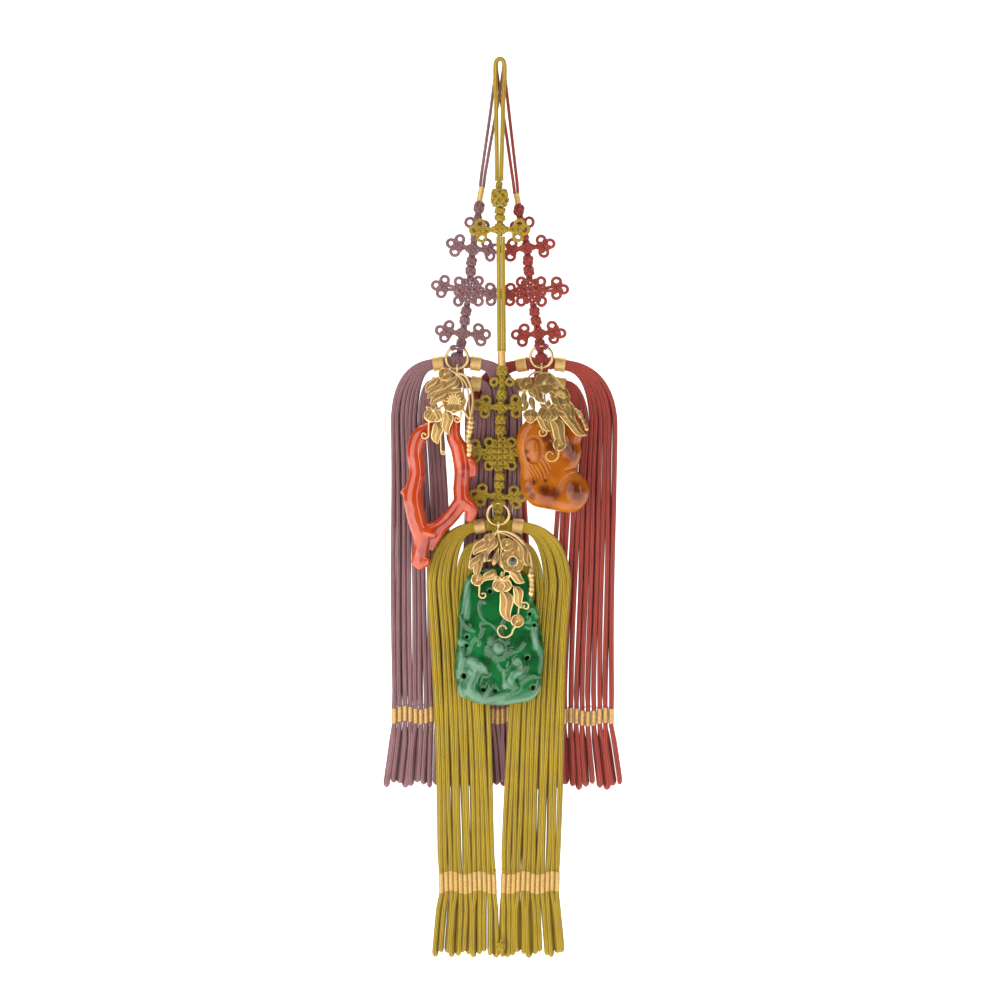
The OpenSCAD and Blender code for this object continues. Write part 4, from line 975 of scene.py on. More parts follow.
def modify(piece, kind, **values):
    """Applies a modifier of the given kind, with the given values, to the active piece."""
    modifier = piece.modifiers.new(kind, kind)
    for name, value in values.items():
        setattr(modifier, name, value)
    bpy.ops.object.modifier_apply(modifier=modifier.name)


def roughen(piece, lumps, lump_size):
    """Pushes the surface in and out by cloudy lumps."""
    clouds = bpy.data.textures.new(f"{piece.name} lumps", "CLOUDS")
    clouds.noise_scale = lump_size * MM
    modify(piece, "DISPLACE", texture=clouds, strength=lumps * MM)


def melt(piece, voxel, polish, lumps=0.0, lump_size=4.0):
    """Joins overlapping forms into one skin, lumpy if asked, and polishes it."""
    select_only(piece)
    modify(piece, "REMESH", mode="VOXEL", voxel_size=voxel * MM)
    if lumps:
        roughen(piece, lumps, lump_size)
    modify(piece, "SMOOTH", factor=0.5, iterations=polish)
    bpy.ops.object.shade_smooth()


def tone(piece, patches):
    """Writes the attribute tone: 1 in the middle of a patch, 0 outside. A patch is points and a radius."""
    attribute = piece.data.attributes.new("tone", "FLOAT", "POINT")
    values = []
    for vertex in piece.data.vertices:
        x, z = vertex.co.x / MM, vertex.co.z / MM
        value = 0.0
        for points, radius in patches:
            for px, pz in points:
                near = 1 - math.hypot(x - px, z - pz) / radius
                if near > value:
                    value = near
        values.append(value)
    attribute.data.foreach_set("value", values)


# Stone: mottled from low to high, fine grains, and the dark colour where the tone is near 1
mottle, mottle_in, mottle_out = new_group(
    "mottled stone",
    {"Place": "NodeSocketVector", "Stretch": "NodeSocketVector", "Scale": "NodeSocketFloat",
     "Low": "NodeSocketColor", "High": "NodeSocketColor", "Dark": "NodeSocketColor",
     "Dark Part": "NodeSocketFloat", "Tone": "NodeSocketFloat"},
    {"Colour": "NodeSocketColor", "Grains": "NodeSocketFloat"})
turned = mottle.nodes.new("ShaderNodeMapping")
mottle.links.new(mottle_in.outputs["Place"], turned.inputs["Vector"])
mottle.links.new(mottle_in.outputs["Stretch"], turned.inputs["Scale"])
clouds = noise(mottle, turned.outputs["Vector"], mottle_in.outputs["Scale"], 5, 0.6)
grains = noise(mottle, mottle_in.outputs["Place"],
               number(mottle, "MULTIPLY", mottle_in.outputs["Scale"], 9.0), 3)
uneven = number(mottle, "ADD", mottle_in.outputs["Tone"], number(
    mottle, "MULTIPLY", number(mottle, "SUBTRACT", grains, 0.5), 0.5))
ground = blend(mottle, spread(mottle, clouds, 0.32, 0.68),
               mottle_in.outputs["Low"], mottle_in.outputs["High"])
mottle.links.new(
    blend(mottle, spread(mottle, uneven, 0.05, 0.8, mottle_in.outputs["Dark Part"], "SMOOTHSTEP"), ground,
          mottle_in.outputs["Dark"]), mottle_out.inputs["Colour"])
mottle.links.new(grains, mottle_out.inputs["Grains"])


def polished(name, low, high, dark, dark_part, scale, roughness, coat, glow, glow_reach, stretch=1.0):
    """Polished stone, with the colour dark where the attribute tone says. Light glows through it a
    little way: glow_reach is how far for red, green and blue, in metres."""
    material, tree, shader = new_material(name, {
        "Specular IOR Level": 0.15, "Subsurface Weight": glow, "Subsurface Radius": glow_reach,
        "Subsurface Scale": 1.0, "Coat Weight": coat, "Coat IOR": 1.66, "Coat Roughness": 0.05})
    tones = tree.nodes.new("ShaderNodeAttribute")
    tones.attribute_name = "tone"
    stone = placed(tree, mottle, {
        "Place": object_place(tree), "Stretch": (1, 1, stretch), "Scale": scale, "Low": low, "High": high,
        "Dark": dark, "Dark Part": dark_part, "Tone": tones.outputs["Fac"]})
    give(tree, shader.inputs["Base Color"], stone.outputs["Colour"])
    give(tree, shader.inputs["Roughness"],
         number(tree, "ADD", roughness, number(tree, "MULTIPLY", stone.outputs["Grains"], 0.12)))
    raise_surface(tree, shader, stone.outputs["Grains"], 0.15, 0.1)
    return material


CORAL_LIMBS = [
    [(-31.0, -163.0, 2.8, 0), (-35.5, -167.0, 3.7, 0), (-37.5, -174.0, 3.8, 0), (-36.8, -184.0, 3.7, 0),
     (-38.5, -193.0, 4.3, 0), (-37.6, -200.0, 4.3, 0), (-36.0, -206.5, 4.2, 0), (-34.6, -212.0, 3.9, 0),
     (-35.0, -219.0, 3.2, 0), (-35.3, -223.5, 3.0, 0)],
    [(-38.6, -191.5, 3.2, 0), (-41.4, -191.7, 1.9, 0), (-43.2, -191.8, 1.2, 0)],
    [(-34.5, -214.0, 3.4, 0), (-37.5, -222.8, 2.0, 0)],
    [(-35.4, -221.0, 2.6, 0), (-33.0, -222.5, 2.6, 0)],
    [(-20.3, -160.5, 3.0, 0), (-20.6, -167.0, 3.3, 0), (-17.8, -173.5, 3.8, 0), (-16.6, -182.0, 3.8, 0),
     (-17.2, -189.5, 3.6, 0), (-16.8, -195.5, 3.8, 0)],
    [(-16.5, -176.0, 3.0, 0), (-12.3, -179.5, 2.2, 0), (-12.0, -183.5, 1.9, 0)],
    [(-16.8, -195.5, 3.7, 0), (-12.6, -199.0, 3.0, 0), (-13.2, -203.2, 2.2, 0)],
    [(-16.8, -195.5, 3.5, 0), (-21.8, -202.5, 3.4, 0), (-27.5, -207.5, 3.6, 0), (-35.0, -209.5, 3.6, 0)],
    [(-36.5, -208.0, 2.0, 1.6), (-33.0, -209.3, 2.0, 2.2), (-29.5, -210.3, 1.9, 2.4)],
    [(-26.6, -208.5, 2.8, 0), (-28.6, -212.8, 2.1, 0), (-30.2, -216.8, 1.2, 0)],
]
coral = limbs("coral_twigs", CORAL_LIMBS, CORAL_Y)
melt(coral, 0.4, 16, lumps=0.5, lump_size=9)
# Deeper red where the limbs part and on the nubs
tone(coral, [
    ([(-15.4, -181.0), (-15.8, -184.5)], 3.6), ([(-20.5, -203.0), (-24.0, -206.0), (-28.0, -209.0)], 3.4),
    ([(-31.5, -214.5), (-34.0, -218.0)], 4.4)])
settle(coral, polished(
    "red coral", paint(168, 52, 20), paint(192, 74, 34), paint(138, 28, 10), dark_part=0.7, scale=120,
    roughness=0.2, coat=1.0, glow=0.05, glow_reach=(0.0016, 0.0005, 0.0003), stretch=0.3),
    "coral", "coral_pendant", "coral_branch")

# Amber
# A thick piece of cloudy amber carved as a curled furry animal: a long oval facet stands on its upper
# left, fine grooves run down its coat, and its round haunch bulges at the lower right.
AMBER_Y = -10.2
AMBER_T = 9.6
AMBER_OUTLINE = [
    (9.6, -162.5), (7.6, -166.5), (7.3, -172.0), (8.4, -177.5), (9.2, -181.0), (8.8, -184.5), (9.4, -190.5),
    (11.5, -194.8), (15.0, -198.0), (20.0, -199.2), (25.5, -200.2), (30.0, -201.0), (34.5, -200.0),
    (38.0, -196.6), (39.4, -192.0), (38.4, -187.0), (35.6, -184.0), (34.0, -182.0), (35.4, -177.5),
    (36.0, -174.0), (35.6, -170.5), (36.4, -166.5), (36.0, -162.0), (32.5, -158.6), (26.0, -157.2),
    (19.0, -157.0), (13.5, -158.6)]


def sought(lines):
    """Tree that finds the nearest point of lines in x and z, all at depth 0."""
    points = [point for line in lines for point in even([(x, 0, z) for x, z in line], 0.25)]
    tree = KDTree(len(points))
    for i, point in enumerate(points):
        tree.insert(point, i)
    tree.balance()
    return tree


def slab(name, outline, depth, thickness, rounding, voxel):
    """Plate of the given outline in the plane of the front, rounded like a pillow at its edge."""
    edge = even([(x, 0, z) for x, z in outline], 1.0, closed=True)
    bpy.ops.mesh.primitive_circle_add(vertices=len(edge), fill_type="NGON")
    piece = bpy.context.object
    piece.name = name
    for vertex, place in zip(piece.data.vertices, edge):
        vertex.co = (place.x * MM, (depth + thickness / 2) * MM, place.z * MM)
    edit(piece)
    bpy.ops.mesh.select_all(action="SELECT")
    bpy.ops.mesh.extrude_region_move(TRANSFORM_OT_translate={"value": (0, -thickness * MM, 0)})
    bpy.ops.mesh.select_all(action="SELECT")
    bpy.ops.mesh.normals_make_consistent(inside=False)
    bpy.ops.object.mode_set(mode="OBJECT")
    melt(piece, voxel, 1)
    rim = sought([outline + outline[:1]])
    for vertex in piece.data.vertices:
        x, y, z = vertex.co / MM
        inward = min(1, rim.find((x, 0, z))[2] / rounding)
        part = max(0.25, math.sqrt(1 - (1 - inward) ** 2))
        vertex.co.y = (depth + (y - depth) * part) * MM
    return piece


def pebble(place, size):
    """Egg-shaped form with half-sizes in x, y and z, to melt into a stone."""
    bpy.ops.mesh.primitive_uv_sphere_add(segments=32, ring_count=16, radius=MM, location=Vector(place) * MM,
                                         scale=size)
    bpy.ops.object.transform_apply(location=True, rotation=True, scale=True)
    return bpy.context.object


def carve(piece, lines, wide, deep):
    """Cuts rounded grooves along lines into the front of a stone, or raises ridges where deep is negative."""
    tree = sought(lines)
    for vertex in piece.data.vertices:
        # Only where the stone faces the front
        if vertex.normal.y > -0.2:
            continue
        away = tree.find((vertex.co.x / MM, 0, vertex.co.z / MM))[2]
        if away < wide:
            vertex.co.y += deep * MM * (0.5 + 0.5 * math.cos(math.pi * away / wide))


amber_front = AMBER_Y - AMBER_T / 2
forms = [slab("amber_carving", AMBER_OUTLINE, AMBER_Y, AMBER_T, 4.4, 0.6)]
forms.append(limbs("haunch", [
    [(14.2, -188.5, 4.6, 0), (16.5, -192.0, 4.6, 0.3), (21, -193.6, 4.0, 0.2)],
    [(11.8, -165.5, 3.2, -0.4), (12.6, -171.0, 3.6, 0), (13.4, -176.0, 3.2, -0.3)],
    [(25.4, -165, 5.0, -0.6), (28.6, -171, 5.0, 0), (31.2, -176.5, 3.6, 0)],
    [(20.5, -163, 3.2, -0.6), (19.2, -170, 3.2, -0.2), (21.5, -178, 3.0, 0), (24.5, -184.5, 3.4, 0)],
], amber_front + 3.4))
forms.append(pebble((33.2, amber_front + 3.6, -191.6), (5.6, 5.0, 6.6)))
forms.append(pebble((15.2, amber_front + 0.2, -173.0), (2.1, 1.3, 4.9)))
amber = joined("amber_carving", forms)
melt(amber, 0.34, 8)
AMBER_FUR = [
    [(9.3, -162.3), (7.9, -165.8), (7.6, -169.4)],
    [(10.1, -163.2), (8.6, -167.6), (8.1, -171.6), (8.8, -175.2)],
    [(11.0, -164.1), (9.3, -168.5), (9.0, -173.0), (10.1, -177.4)],
    [(8.1, -174.8), (9.3, -178.8), (11.5, -182.3), (12.3, -186.4)],
    [(9.7, -178.3), (11.5, -181.9), (13.3, -185.5), (13.7, -189.0)],
    [(11.5, -179.7), (13.3, -182.3), (14.9, -185.0), (15.5, -188.6)],
    [(13.3, -180.1), (14.9, -182.3), (16.3, -185.0), (17.0, -187.7)],
    [(15.1, -180.1), (16.4, -182.3), (17.7, -184.6), (18.3, -186.8)],
    [(16.8, -179.4), (18.0, -181.5), (19.1, -183.7), (19.7, -185.9)],
    [(18.2, -177.9), (19.3, -180.1), (20.5, -182.3), (20.9, -184.1)],
    [(19.1, -176.1), (20.0, -178.3), (21.5, -180.6), (22.0, -182.1)],
    [(22.2, -169.4), (24.0, -172.5), (25.3, -176.5)], [(23.5, -168.5), (25.8, -172.1), (26.9, -175.2)],
    [(29.3, -164.9), (30.7, -167.6), (31.1, -170.7)], [(30.7, -185.7), (33.3, -184.8), (36.0, -186.4)],
    [(36.8, -187.0), (38.2, -190.0), (38.2, -193.4), (36.8, -196.6)],
    [(35.6, -187.0), (37.2, -190.0), (37.2, -193.0), (35.9, -195.8)]]
carve(amber, AMBER_FUR, 0.5, 0.2)
carve(amber, [
    [(25.8, -191.7), (27.5, -187.9), (30.7, -184.6), (33.8, -183.5)],
    [(29.3, -182.3), (32.9, -181.0), (35.6, -179.2)],
    [(11.6, -170.2), (12.0, -175.6), (14.0, -178.4), (16.6, -178.4), (17.9, -175.6), (17.9, -171.1),
     (16.6, -168.4), (14.2, -167.9), (12.2, -169.0), (11.6, -170.2)]], 1.0, 0.75)
tone(amber, [
    ([(31.0, -172.4), (32.2, -175.4)], 4.6), ([(20.0, -191.2), (23.6, -192.2)], 5.0),
    ([(32.4, -190.0), (33.8, -192.6)], 5.4), ([(20.6, -168.0), (22.4, -171.5)], 4.2), ([(14.6, -187.7)], 2.0),
    ([(12.6, -190.6), (14.2, -193.4)], 2.8), ([(20.0, -186.8)], 1.4),
    ([(11.8, -174.0), (12.6, -177.4)], 1.6)])
settle(amber, polished(
    "cloudy amber", paint(146, 70, 6), paint(178, 102, 20), paint(80, 24, 4), dark_part=0.85, scale=90,
    roughness=0.26, coat=0.45, glow=0.1, glow_reach=(0.002, 0.0008, 0.0003)),
    "amber", "amber_pendant", "amber")

# Jade
# A pierced plaque of mottled green jade, carved in low relief with a blossom, tendrils and leaves, and
# with two curled animals along its lower half. The raised forms and the lower edge are paler.
JADE_Y = -9.1
JADE_T = 7.4
JADE_OUTLINE = [
    (-12.0, -227.0), (-15.6, -231.5), (-17.2, -236.0), (-18.2, -242.8), (-18.8, -247.5), (-19.0, -253.4),
    (-19.4, -259.8), (-20.0, -266.0), (-20.4, -270.5), (-19.8, -274.6), (-18.4, -278.8), (-16.4, -282.0),
    (-13.4, -284.2), (-8.8, -285.6), (-3.8, -286.0), (2.6, -286.2), (5.0, -284.8), (8.6, -285.0),
    (12.0, -284.8), (15.0, -283.2), (16.8, -280.2), (18.4, -277.6), (18.6, -273.4), (19.4, -268.0),
    (19.8, -263.0), (19.0, -257.6), (17.8, -250.8), (17.4, -247.4), (16.4, -243.2), (14.8, -240.7),
    (14.8, -237.6), (13.0, -230.2), (10.8, -227.3), (6.0, -225.4), (-1.8, -224.7)]
# Holes right through: x, z, radius
JADE_HOLES = [
    (-4.4, -235.6, 0.9), (-14.6, -255.8, 0.8), (-14.8, -259.6, 0.8), (-16.0, -273.0, 1.2),
    (-7.4, -279.2, 0.9), (-2.0, -279.8, 0.9), (13.2, -245.6, 0.8), (15.2, -250.6, 0.8),
    (12.0, -265.0, 0.9), (14.6, -278.3, 1.0)]
jade_front = JADE_Y - JADE_T / 2
# Raised bodies, tails and leaves: x, z, radius, and how far forward of the ground
JADE_FORMS = [
    # Left animal: head with snout, neck, body and raised paw
    [(-13.2, -266.4, 2.4, 0.2), (-10.2, -267.6, 3.3, 0.4), (-7.6, -269.4, 2.7, 0.3),
     (-6.1, -271.2, 1.7, 0.6)],
    [(-9.6, -270.6, 2.6, 0.0), (-11.4, -274.4, 2.8, 0.1), (-12.6, -279.0, 3.5, 0.3), (-9.4, -282.2, 2.8, 0)],
    [(-9.4, -281.4, 1.5, 0.3), (-6.4, -281.0, 1.4, 0.4), (-4.6, -278.9, 1.7, 0.5), (-3.8, -276.6, 1.8, 0.4)],
    [(-14.6, -272.4, 1.5, 0.1), (-17.2, -276.6, 1.9, 0), (-16.4, -281.0, 1.8, 0)],
    [(-13.4, -270.4, 1.3, 0.8), (-12.6, -271.2, 1.4, 0.9)],
    # Right animal: curled head, neck and body, with a horn
    [(6.9, -266.2, 1.4, 0.3), (8.6, -265.4, 1.6, 0.5), (10.3, -267.6, 1.9, 0.4), (9.4, -270.6, 2.2, 0.3),
     (6.4, -271.8, 2.4, 0.3), (4.9, -274.6, 2.8, 0.1), (6.6, -277.6, 2.6, 0)],
    [(-0.2, -268.0, 0.8, 0.4), (1.4, -269.8, 1.0, 0.3), (3.4, -269.8, 1.1, 0.2), (4.2, -267.0, 1.0, 0)],
    [(2.2, -270.2, 1.1, 0.1), (2.6, -273.4, 1.3, 0), (2.6, -277.6, 1.3, 0)],
    # Tails along the lower edge
    [(-8.6, -284.2, 1.3, 0), (-4.8, -283.4, 1.7, 0.2), (-1.0, -282.2, 1.9, 0.3), (2.8, -280.6, 1.9, 0.3),
     (5.7, -278.8, 1.6, 0.2), (8.3, -276.1, 1.2, 0.2), (11.2, -273.7, 1.1, 0.2), (14.6, -272.4, 1.1, 0.1),
     (17.2, -273.4, 1.0, 0)],
    [(17.4, -275.0, 1.0, 0), (16.6, -278.2, 1.4, 0.1), (14.4, -281.4, 1.5, 0.2), (10.6, -282.8, 1.7, 0.2),
     (6.2, -283.6, 1.6, 0.1), (2.6, -284.6, 1.3, 0.2)],
    # Berry and leaves at the left edge, and leaves down the right edge
    [(-17.4, -257.7, 1.9, 0), (-17.1, -258.0, 1.9, 0)],
    [(-17.2, -261.2, 1.3, 0), (-16.4, -264.2, 1.6, 0), (-17.4, -267.6, 1.5, 0), (-17.8, -270.6, 1.3, 0)],
    [(-17.8, -246.0, 0.7, 0), (-15.0, -250.0, 1.5, 0), (-11.6, -252.8, 0.9, 0)],
    [(14.6, -250.4, 0.8, 0), (15.4, -254.8, 1.5, 0), (17.4, -260.4, 1.3, 0), (18.6, -265.0, 0.7, 0)],
    [(12.6, -243.2, 0.8, 0), (15.0, -243.0, 1.0, 0), (16.5, -246.4, 0.9, 0)],
    [(13.0, -246.0, 1.0, 0), (12.2, -248.6, 1.3, 0)],
]
forms = [slab("jade_plaque", JADE_OUTLINE, JADE_Y, JADE_T, 2.2, 0.5)]
forms.append(limbs("jade_animals", JADE_FORMS, jade_front + 0.7))
JADE_BLOSSOM = (-0.6, -260.6)
for k in range(5):
    petal = Vector((JADE_BLOSSOM[0], jade_front + 0.3, JADE_BLOSSOM[1])) + ways(54 + 72 * k) * 3.7
    forms.append(pebble(petal, (2.5, 1.3, 2.5)))
forms.append(pebble((JADE_BLOSSOM[0], jade_front, JADE_BLOSSOM[1]), (2.9, 2.1, 2.9)))
jade = joined("jade_plaque", forms)
drills = []
for x, z, radius in JADE_HOLES:
    bpy.ops.mesh.primitive_cylinder_add(
        vertices=24, radius=radius * MM, depth=40 * MM, rotation=(math.pi / 2, 0, 0),
        location=(x * MM, JADE_Y * MM, z * MM))
    drills.append(bpy.context.object)
drills = joined("drills", drills)
melt(jade, 0.3, 0)
select_only(jade)
modify(jade, "BOOLEAN", object=drills, operation="DIFFERENCE")
bpy.data.objects.remove(drills)
melt(jade, 0.34, 4)
JADE_TENDRILS = [
    [(-6.9, -240.4), (-7.6, -239.6), (-8.7, -240.4), (-9.1, -242.9), (-8.2, -246.3), (-6.1, -248.6),
     (-3.1, -250.3), (-0.2, -253.7)],
    [(2.9, -247.0), (1.4, -249.2), (0.7, -251.3), (0.5, -255.5)],
    [(-7.2, -251.9), (-8.2, -251.3), (-8.3, -250.1), (-6.9, -249.2), (-5.0, -249.1)],
    [(-7.6, -251.6), (-8.0, -253.5), (-8.8, -255.4), (-10.9, -256.6), (-12.4, -258.3), (-13.1, -260.6),
     (-14.0, -263.0), (-15.2, -265.1)],
    [(-15.6, -257.3), (-14.0, -258.9), (-13.1, -261.1)], [(-10.5, -256.0), (-9.0, -257.7), (-9.4, -259.2)],
    [(17.2, -249.7), (18.6, -256.0), (19.0, -261.9)], [(11.7, -250.9), (12.9, -251.6), (14.6, -250.9)],
    [(6.2, -262.3), (8.7, -261.1), (10.8, -258.5)]]
carve(jade, JADE_TENDRILS, 0.75, -0.55)
jade_cuts = [
    [(-11.4, -266.6), (-10.4, -266.0), (-9.4, -266.4)], [(-8.6, -267.4), (-7.6, -267.2)],
    [(-18.6, -261.1), (-16.6, -264.4)], [(-17.7, -260.8), (-16.0, -264.0)],
    [(-11.2, -272.8), (-13.8, -276.4)],
    [(-14.4, -239.6), (-15.4, -244.0), (-16.2, -248.4)], [(-4.8, -277.4), (-5.2, -275.4)],
    [(-3.9, -277.8), (-3.9, -275.6)], [(-3.0, -277.8), (-2.7, -276.0)]]
# Short cuts across the tail, on the petals and over the blossom's middle
for k in range(17):
    x = -8.2 + 0.72 * k
    z = -284.0 + 1.15 * (k / 8) ** 1.7
    jade_cuts.append([(x, z - 0.9), (x + 0.9, z + 0.8)])
hub = Vector((JADE_BLOSSOM[0], 0, JADE_BLOSSOM[1]))
for k in range(5):
    for fan in (-24, -8, 8, 24):
        ray = ways(54 + 72 * k + fan * 0.7)
        jade_cuts.append([((hub + ray * out).x, (hub + ray * out).z) for out in (4.4, 6.0)])
for k in range(-3, 4):
    half = 0.8 * math.sqrt(7.3 - (0.62 * k) ** 2)
    jade_cuts.append([(JADE_BLOSSOM[0] + 0.62 * k - 0.3 * half, JADE_BLOSSOM[1] - half),
                      (JADE_BLOSSOM[0] + 0.62 * k + 0.3 * half, JADE_BLOSSOM[1] + half)])
carve(jade, jade_cuts, 0.36, 0.3)
carve(jade, [[(JADE_BLOSSOM[0] + 2.95 * math.cos(a), JADE_BLOSSOM[1] + 2.95 * math.sin(a))
              for a in (math.pi * k / 8 for k in range(17))]], 0.6, 0.6)
tone(jade, [
    ([(-14.6, -231.4 - 1.2 * k) for k in range(14)], 2.2),
    ([(x, -285.0 + 0.012 * x * x) for x in range(-19, 19)], 5.6),
    ([(-13.0 + 0.8 * k, -266.4 - 0.5 * k) for k in range(8)], 3.0),
    ([(-12.0 - 0.2 * k, -271.0 - 1.1 * k) for k in range(9)], 3.6),
    ([(-17.4, -264.0 - 1.2 * k) for k in range(9)], 2.6),
    ([(7.6, -267.4), (8.8, -269.6), (8.0, -271.6), (6.2, -272.6), (4.8, -275.0), (2.6, -277.6)], 2.6),
    ([(-17.2, -258.0)], 2.4), ([(-0.6, -260.6)], 4.6), ([(15.6, -252.0 - 1.2 * k) for k in range(8)], 2.0)])
settle(jade, polished(
    "green jade", paint(2, 66, 26), paint(16, 108, 52), paint(106, 148, 120), dark_part=0.6, scale=110,
    roughness=0.18, coat=0.8, glow=0.08, glow_reach=(0.0004, 0.001, 0.0005)),
    "jade", "jade_pendant", "jade")

# Cast gold caps
# Each stone hangs from an openwork cap of cast gold: stems run from a hook on the ring down over the
# stone's shoulder and carry blossoms, orchids, pods and veined leaves, and end in curled tendrils.
# The coral's and jade's caps are bright, and the amber's is of a darker antique gold.
HOOK_R = 0.5
HOOK_MAJOR = WIRE_R + 0.25 + 0.08 + HOOK_R
CAST_THICKNESS = 0.42
# Leaves are drawn this much fuller than their width says, because they curl
LEAF_FULLNESS = 1.35


def flat(place):
    """The place, given by x and z, as a point at depth 0."""
    return Vector((place[0], 0, place[1]))


def cast_sheet(rows, columns, place):
    """Thin cast plate: place gives the point for u from 0 to 1 along it and v from -1 to 1 across it."""
    bpy.ops.mesh.primitive_grid_add(x_subdivisions=rows, y_subdivisions=columns, size=2)
    piece = bpy.context.object
    for vertex in piece.data.vertices:
        vertex.co = place(vertex.co.x / 2 + 0.5, vertex.co.y) * MM
    modify(piece, "SOLIDIFY", thickness=CAST_THICKNESS * MM, offset=0)
    bpy.ops.object.shade_smooth_by_angle(angle=math.radians(50))
    return piece


def bead(place, radius, segments=12):
    bpy.ops.mesh.primitive_uv_sphere_add(segments=segments, ring_count=segments // 2 + 1, radius=radius * MM,
                                         location=Vector(place) * MM)
    bpy.ops.object.transform_apply(location=True)
    bpy.ops.object.shade_smooth()
    return bpy.context.object


def leaf_width(u):
    return max(0.05, math.sin(math.pi * u ** 0.75) ** 0.8)


def pod_width(u):
    return max(0.08, math.sin(math.pi * u ** 2.1) ** 0.55)


def petal_width(u):
    return max(0.08, math.sin(math.pi * (0.1 + 0.9 * u)) ** 0.5)


def pointed_width(u):
    return max(0.05, math.sin(math.pi * (0.2 + 0.8 * u)) ** 1.1)


class Cap:
    """Collects the wires and cast pieces of one cap. A slope is: upper height, depth there, lower
    height, depth there; the relief lies on it."""

    def __init__(self, slope):
        self.slope = slope
        self.wires = []
        self.radii = []
        self.cast = []

    def at(self, x, z, back=0.0):
        """Point a distance behind the slope."""
        high, high_y, low, low_y = self.slope
        part = min(1, max(0, (z - high) / (low - high)))
        return Vector((x, high_y + part * (low_y - high_y) + back, z))

    def wire(self, points, first, last, back=0.7):
        """Stem that goes from the first radius to the last."""
        route = even([self.at(x, z, back) for x, z in points], 0.6)
        self.wires.append(route)
        self.radii.append([first + (last - first) * k / (len(route) - 1) for k in range(len(route))])

    def tendril(self, start, centre, radius, angle, turn):
        """Thin wire that ends in a spiral with a bead at its tip."""
        points = [start]
        for k in range(15):
            u = k / 14
            a = math.radians(angle + turn * 1.15 * u)
            out = radius * (1 - 0.72 * u)
            points.append((centre[0] + out * math.cos(a), centre[1] + out * math.sin(a)))
        self.wire(points, 0.5, 0.34, 0.2)
        self.cast.append(bead(self.at(*points[-1], 0.2), 0.5))

    def leaf(self, start, end, width, veins=14, bend=0.07):
        """Veined leaf with a raised midrib and rim, bent like an S."""
        along = flat((end[0] - start[0], end[1] - start[1]))
        side = Vector((-along.z, 0, along.x)).normalized()

        def place(u, v):
            across = v * LEAF_FULLNESS * width / 2 * leaf_width(u)
            across += bend * along.length * math.sin(2 * math.pi * u)
            point = flat(start) + along * u + side * across
            vein = 0.07 * math.cos(2 * math.pi * (veins * u - 1.9 * abs(v))) * min(1, 3 * abs(v))
            relief = 0.8 * (1 - v * v) * leaf_width(u) + 0.3 * math.exp(-(v / 0.12) ** 2) + vein
            relief += 0.3 * (abs(v) > 0.8) * leaf_width(u)
            return self.at(point.x, point.z, 0.1 - relief)
        self.cast.append(cast_sheet(44, 14, place))

    def pod(self, start, end, radius):
        """Drop-shaped pod with a rim round a smooth swelling."""
        along = flat((end[0] - start[0], end[1] - start[1]))
        side = Vector((-along.z, 0, along.x)).normalized()

        def place(u, v):
            point = flat(start) + along * u + side * v * radius * pod_width(u)
            inner = max(0, 1 - (v / 0.72) ** 2)
            relief = 1.2 * math.sqrt(inner) * pod_width(u) + 0.35 * (abs(v) > 0.8)
            return self.at(point.x, point.z, 0.1 - relief)
        self.cast.append(cast_sheet(20, 14, place))

    def petal(self, hub, angle, reach, width, shape=petal_width, ribs=4, lift=0.0):
        """Ribbed petal from near the hub outwards, cupped and tilted forwards."""
        out, across = ways(angle), ways(angle + 90)

        def place(u, v):
            point = flat(hub) + out * reach * (0.12 + 0.88 * u) + across * v * width / 2 * shape(u)
            relief = lift + 0.2 * v * v + 0.25 * u + 0.09 * math.cos(2 * math.pi * ribs * v) * min(1, 2 * u)
            return self.at(point.x, point.z, -relief)
        self.cast.append(cast_sheet(10, 16, place))

    def blossom(self, hub, reach, petals=5, turn=90, middle="bead", shape=petal_width):
        """Ring of petals round a bead, a bowl of seeds, or a bezel that a small stone sits in."""
        width = 2.7 * reach * math.sin(math.pi / petals)
        for k in range(petals):
            self.petal(hub, turn + 360 * k / petals, reach, width, shape, lift=0.15 * (k % 2))
        front = self.at(*hub, -0.5)
        if middle == "bead":
            self.cast.append(bead(front, 0.24 * reach))
            return
        bowl = reach * 0.42
        self.wires.append([front + ways(24 * k) * bowl + Vector((0, -0.3, 0)) for k in range(16)])
        self.radii.append([0.38] * 16)
        if middle == "seeds":
            for k in range(14):
                self.cast.append(bead(front + ways(360 * k / 14) * reach * 0.56 + Vector((0, -0.3, 0)),
                                      0.075 * reach + 0.1, 8))
            for k in range(-2, 3):
                half = math.sqrt(bowl * bowl - (0.34 * bowl * k) ** 2) * 0.86
                lean = ways(70) * half
                across = ways(-20) * 0.34 * bowl * k + Vector((0, -0.35, 0))
                self.wires.append(even([front + across - lean, front + across + lean], 0.5))
                self.radii.append([0.22] * len(self.wires[-1]))
        self.cast.append(pebble(front, (bowl, 0.55, bowl)))

    def orchid(self, hub, width, height):
        """Orchid: a broad lip of two ribbed lobes, two side petals, three pointed sepals and a bead."""
        for angle in (90, 38, 142):
            self.petal(hub, angle, height * 0.86, width * 0.3, pointed_width, ribs=1, lift=0.0)
        for angle in (2, 178):
            self.petal(hub, angle, width * 0.52, height * 0.5, ribs=3, lift=0.1)
        for angle in (-58, -122):
            self.petal((hub[0], hub[1] + 0.8), angle, height * 1.05, width * 0.82, ribs=2, lift=0.35)
        for x, z, radius in ((0, 0.2, 0.16), (-0.12, 0.34, 0.1), (0.12, 0.34, 0.1)):
            self.cast.append(bead(self.at(hub[0] + x * width, hub[1] + z * height, -0.9), radius * height))

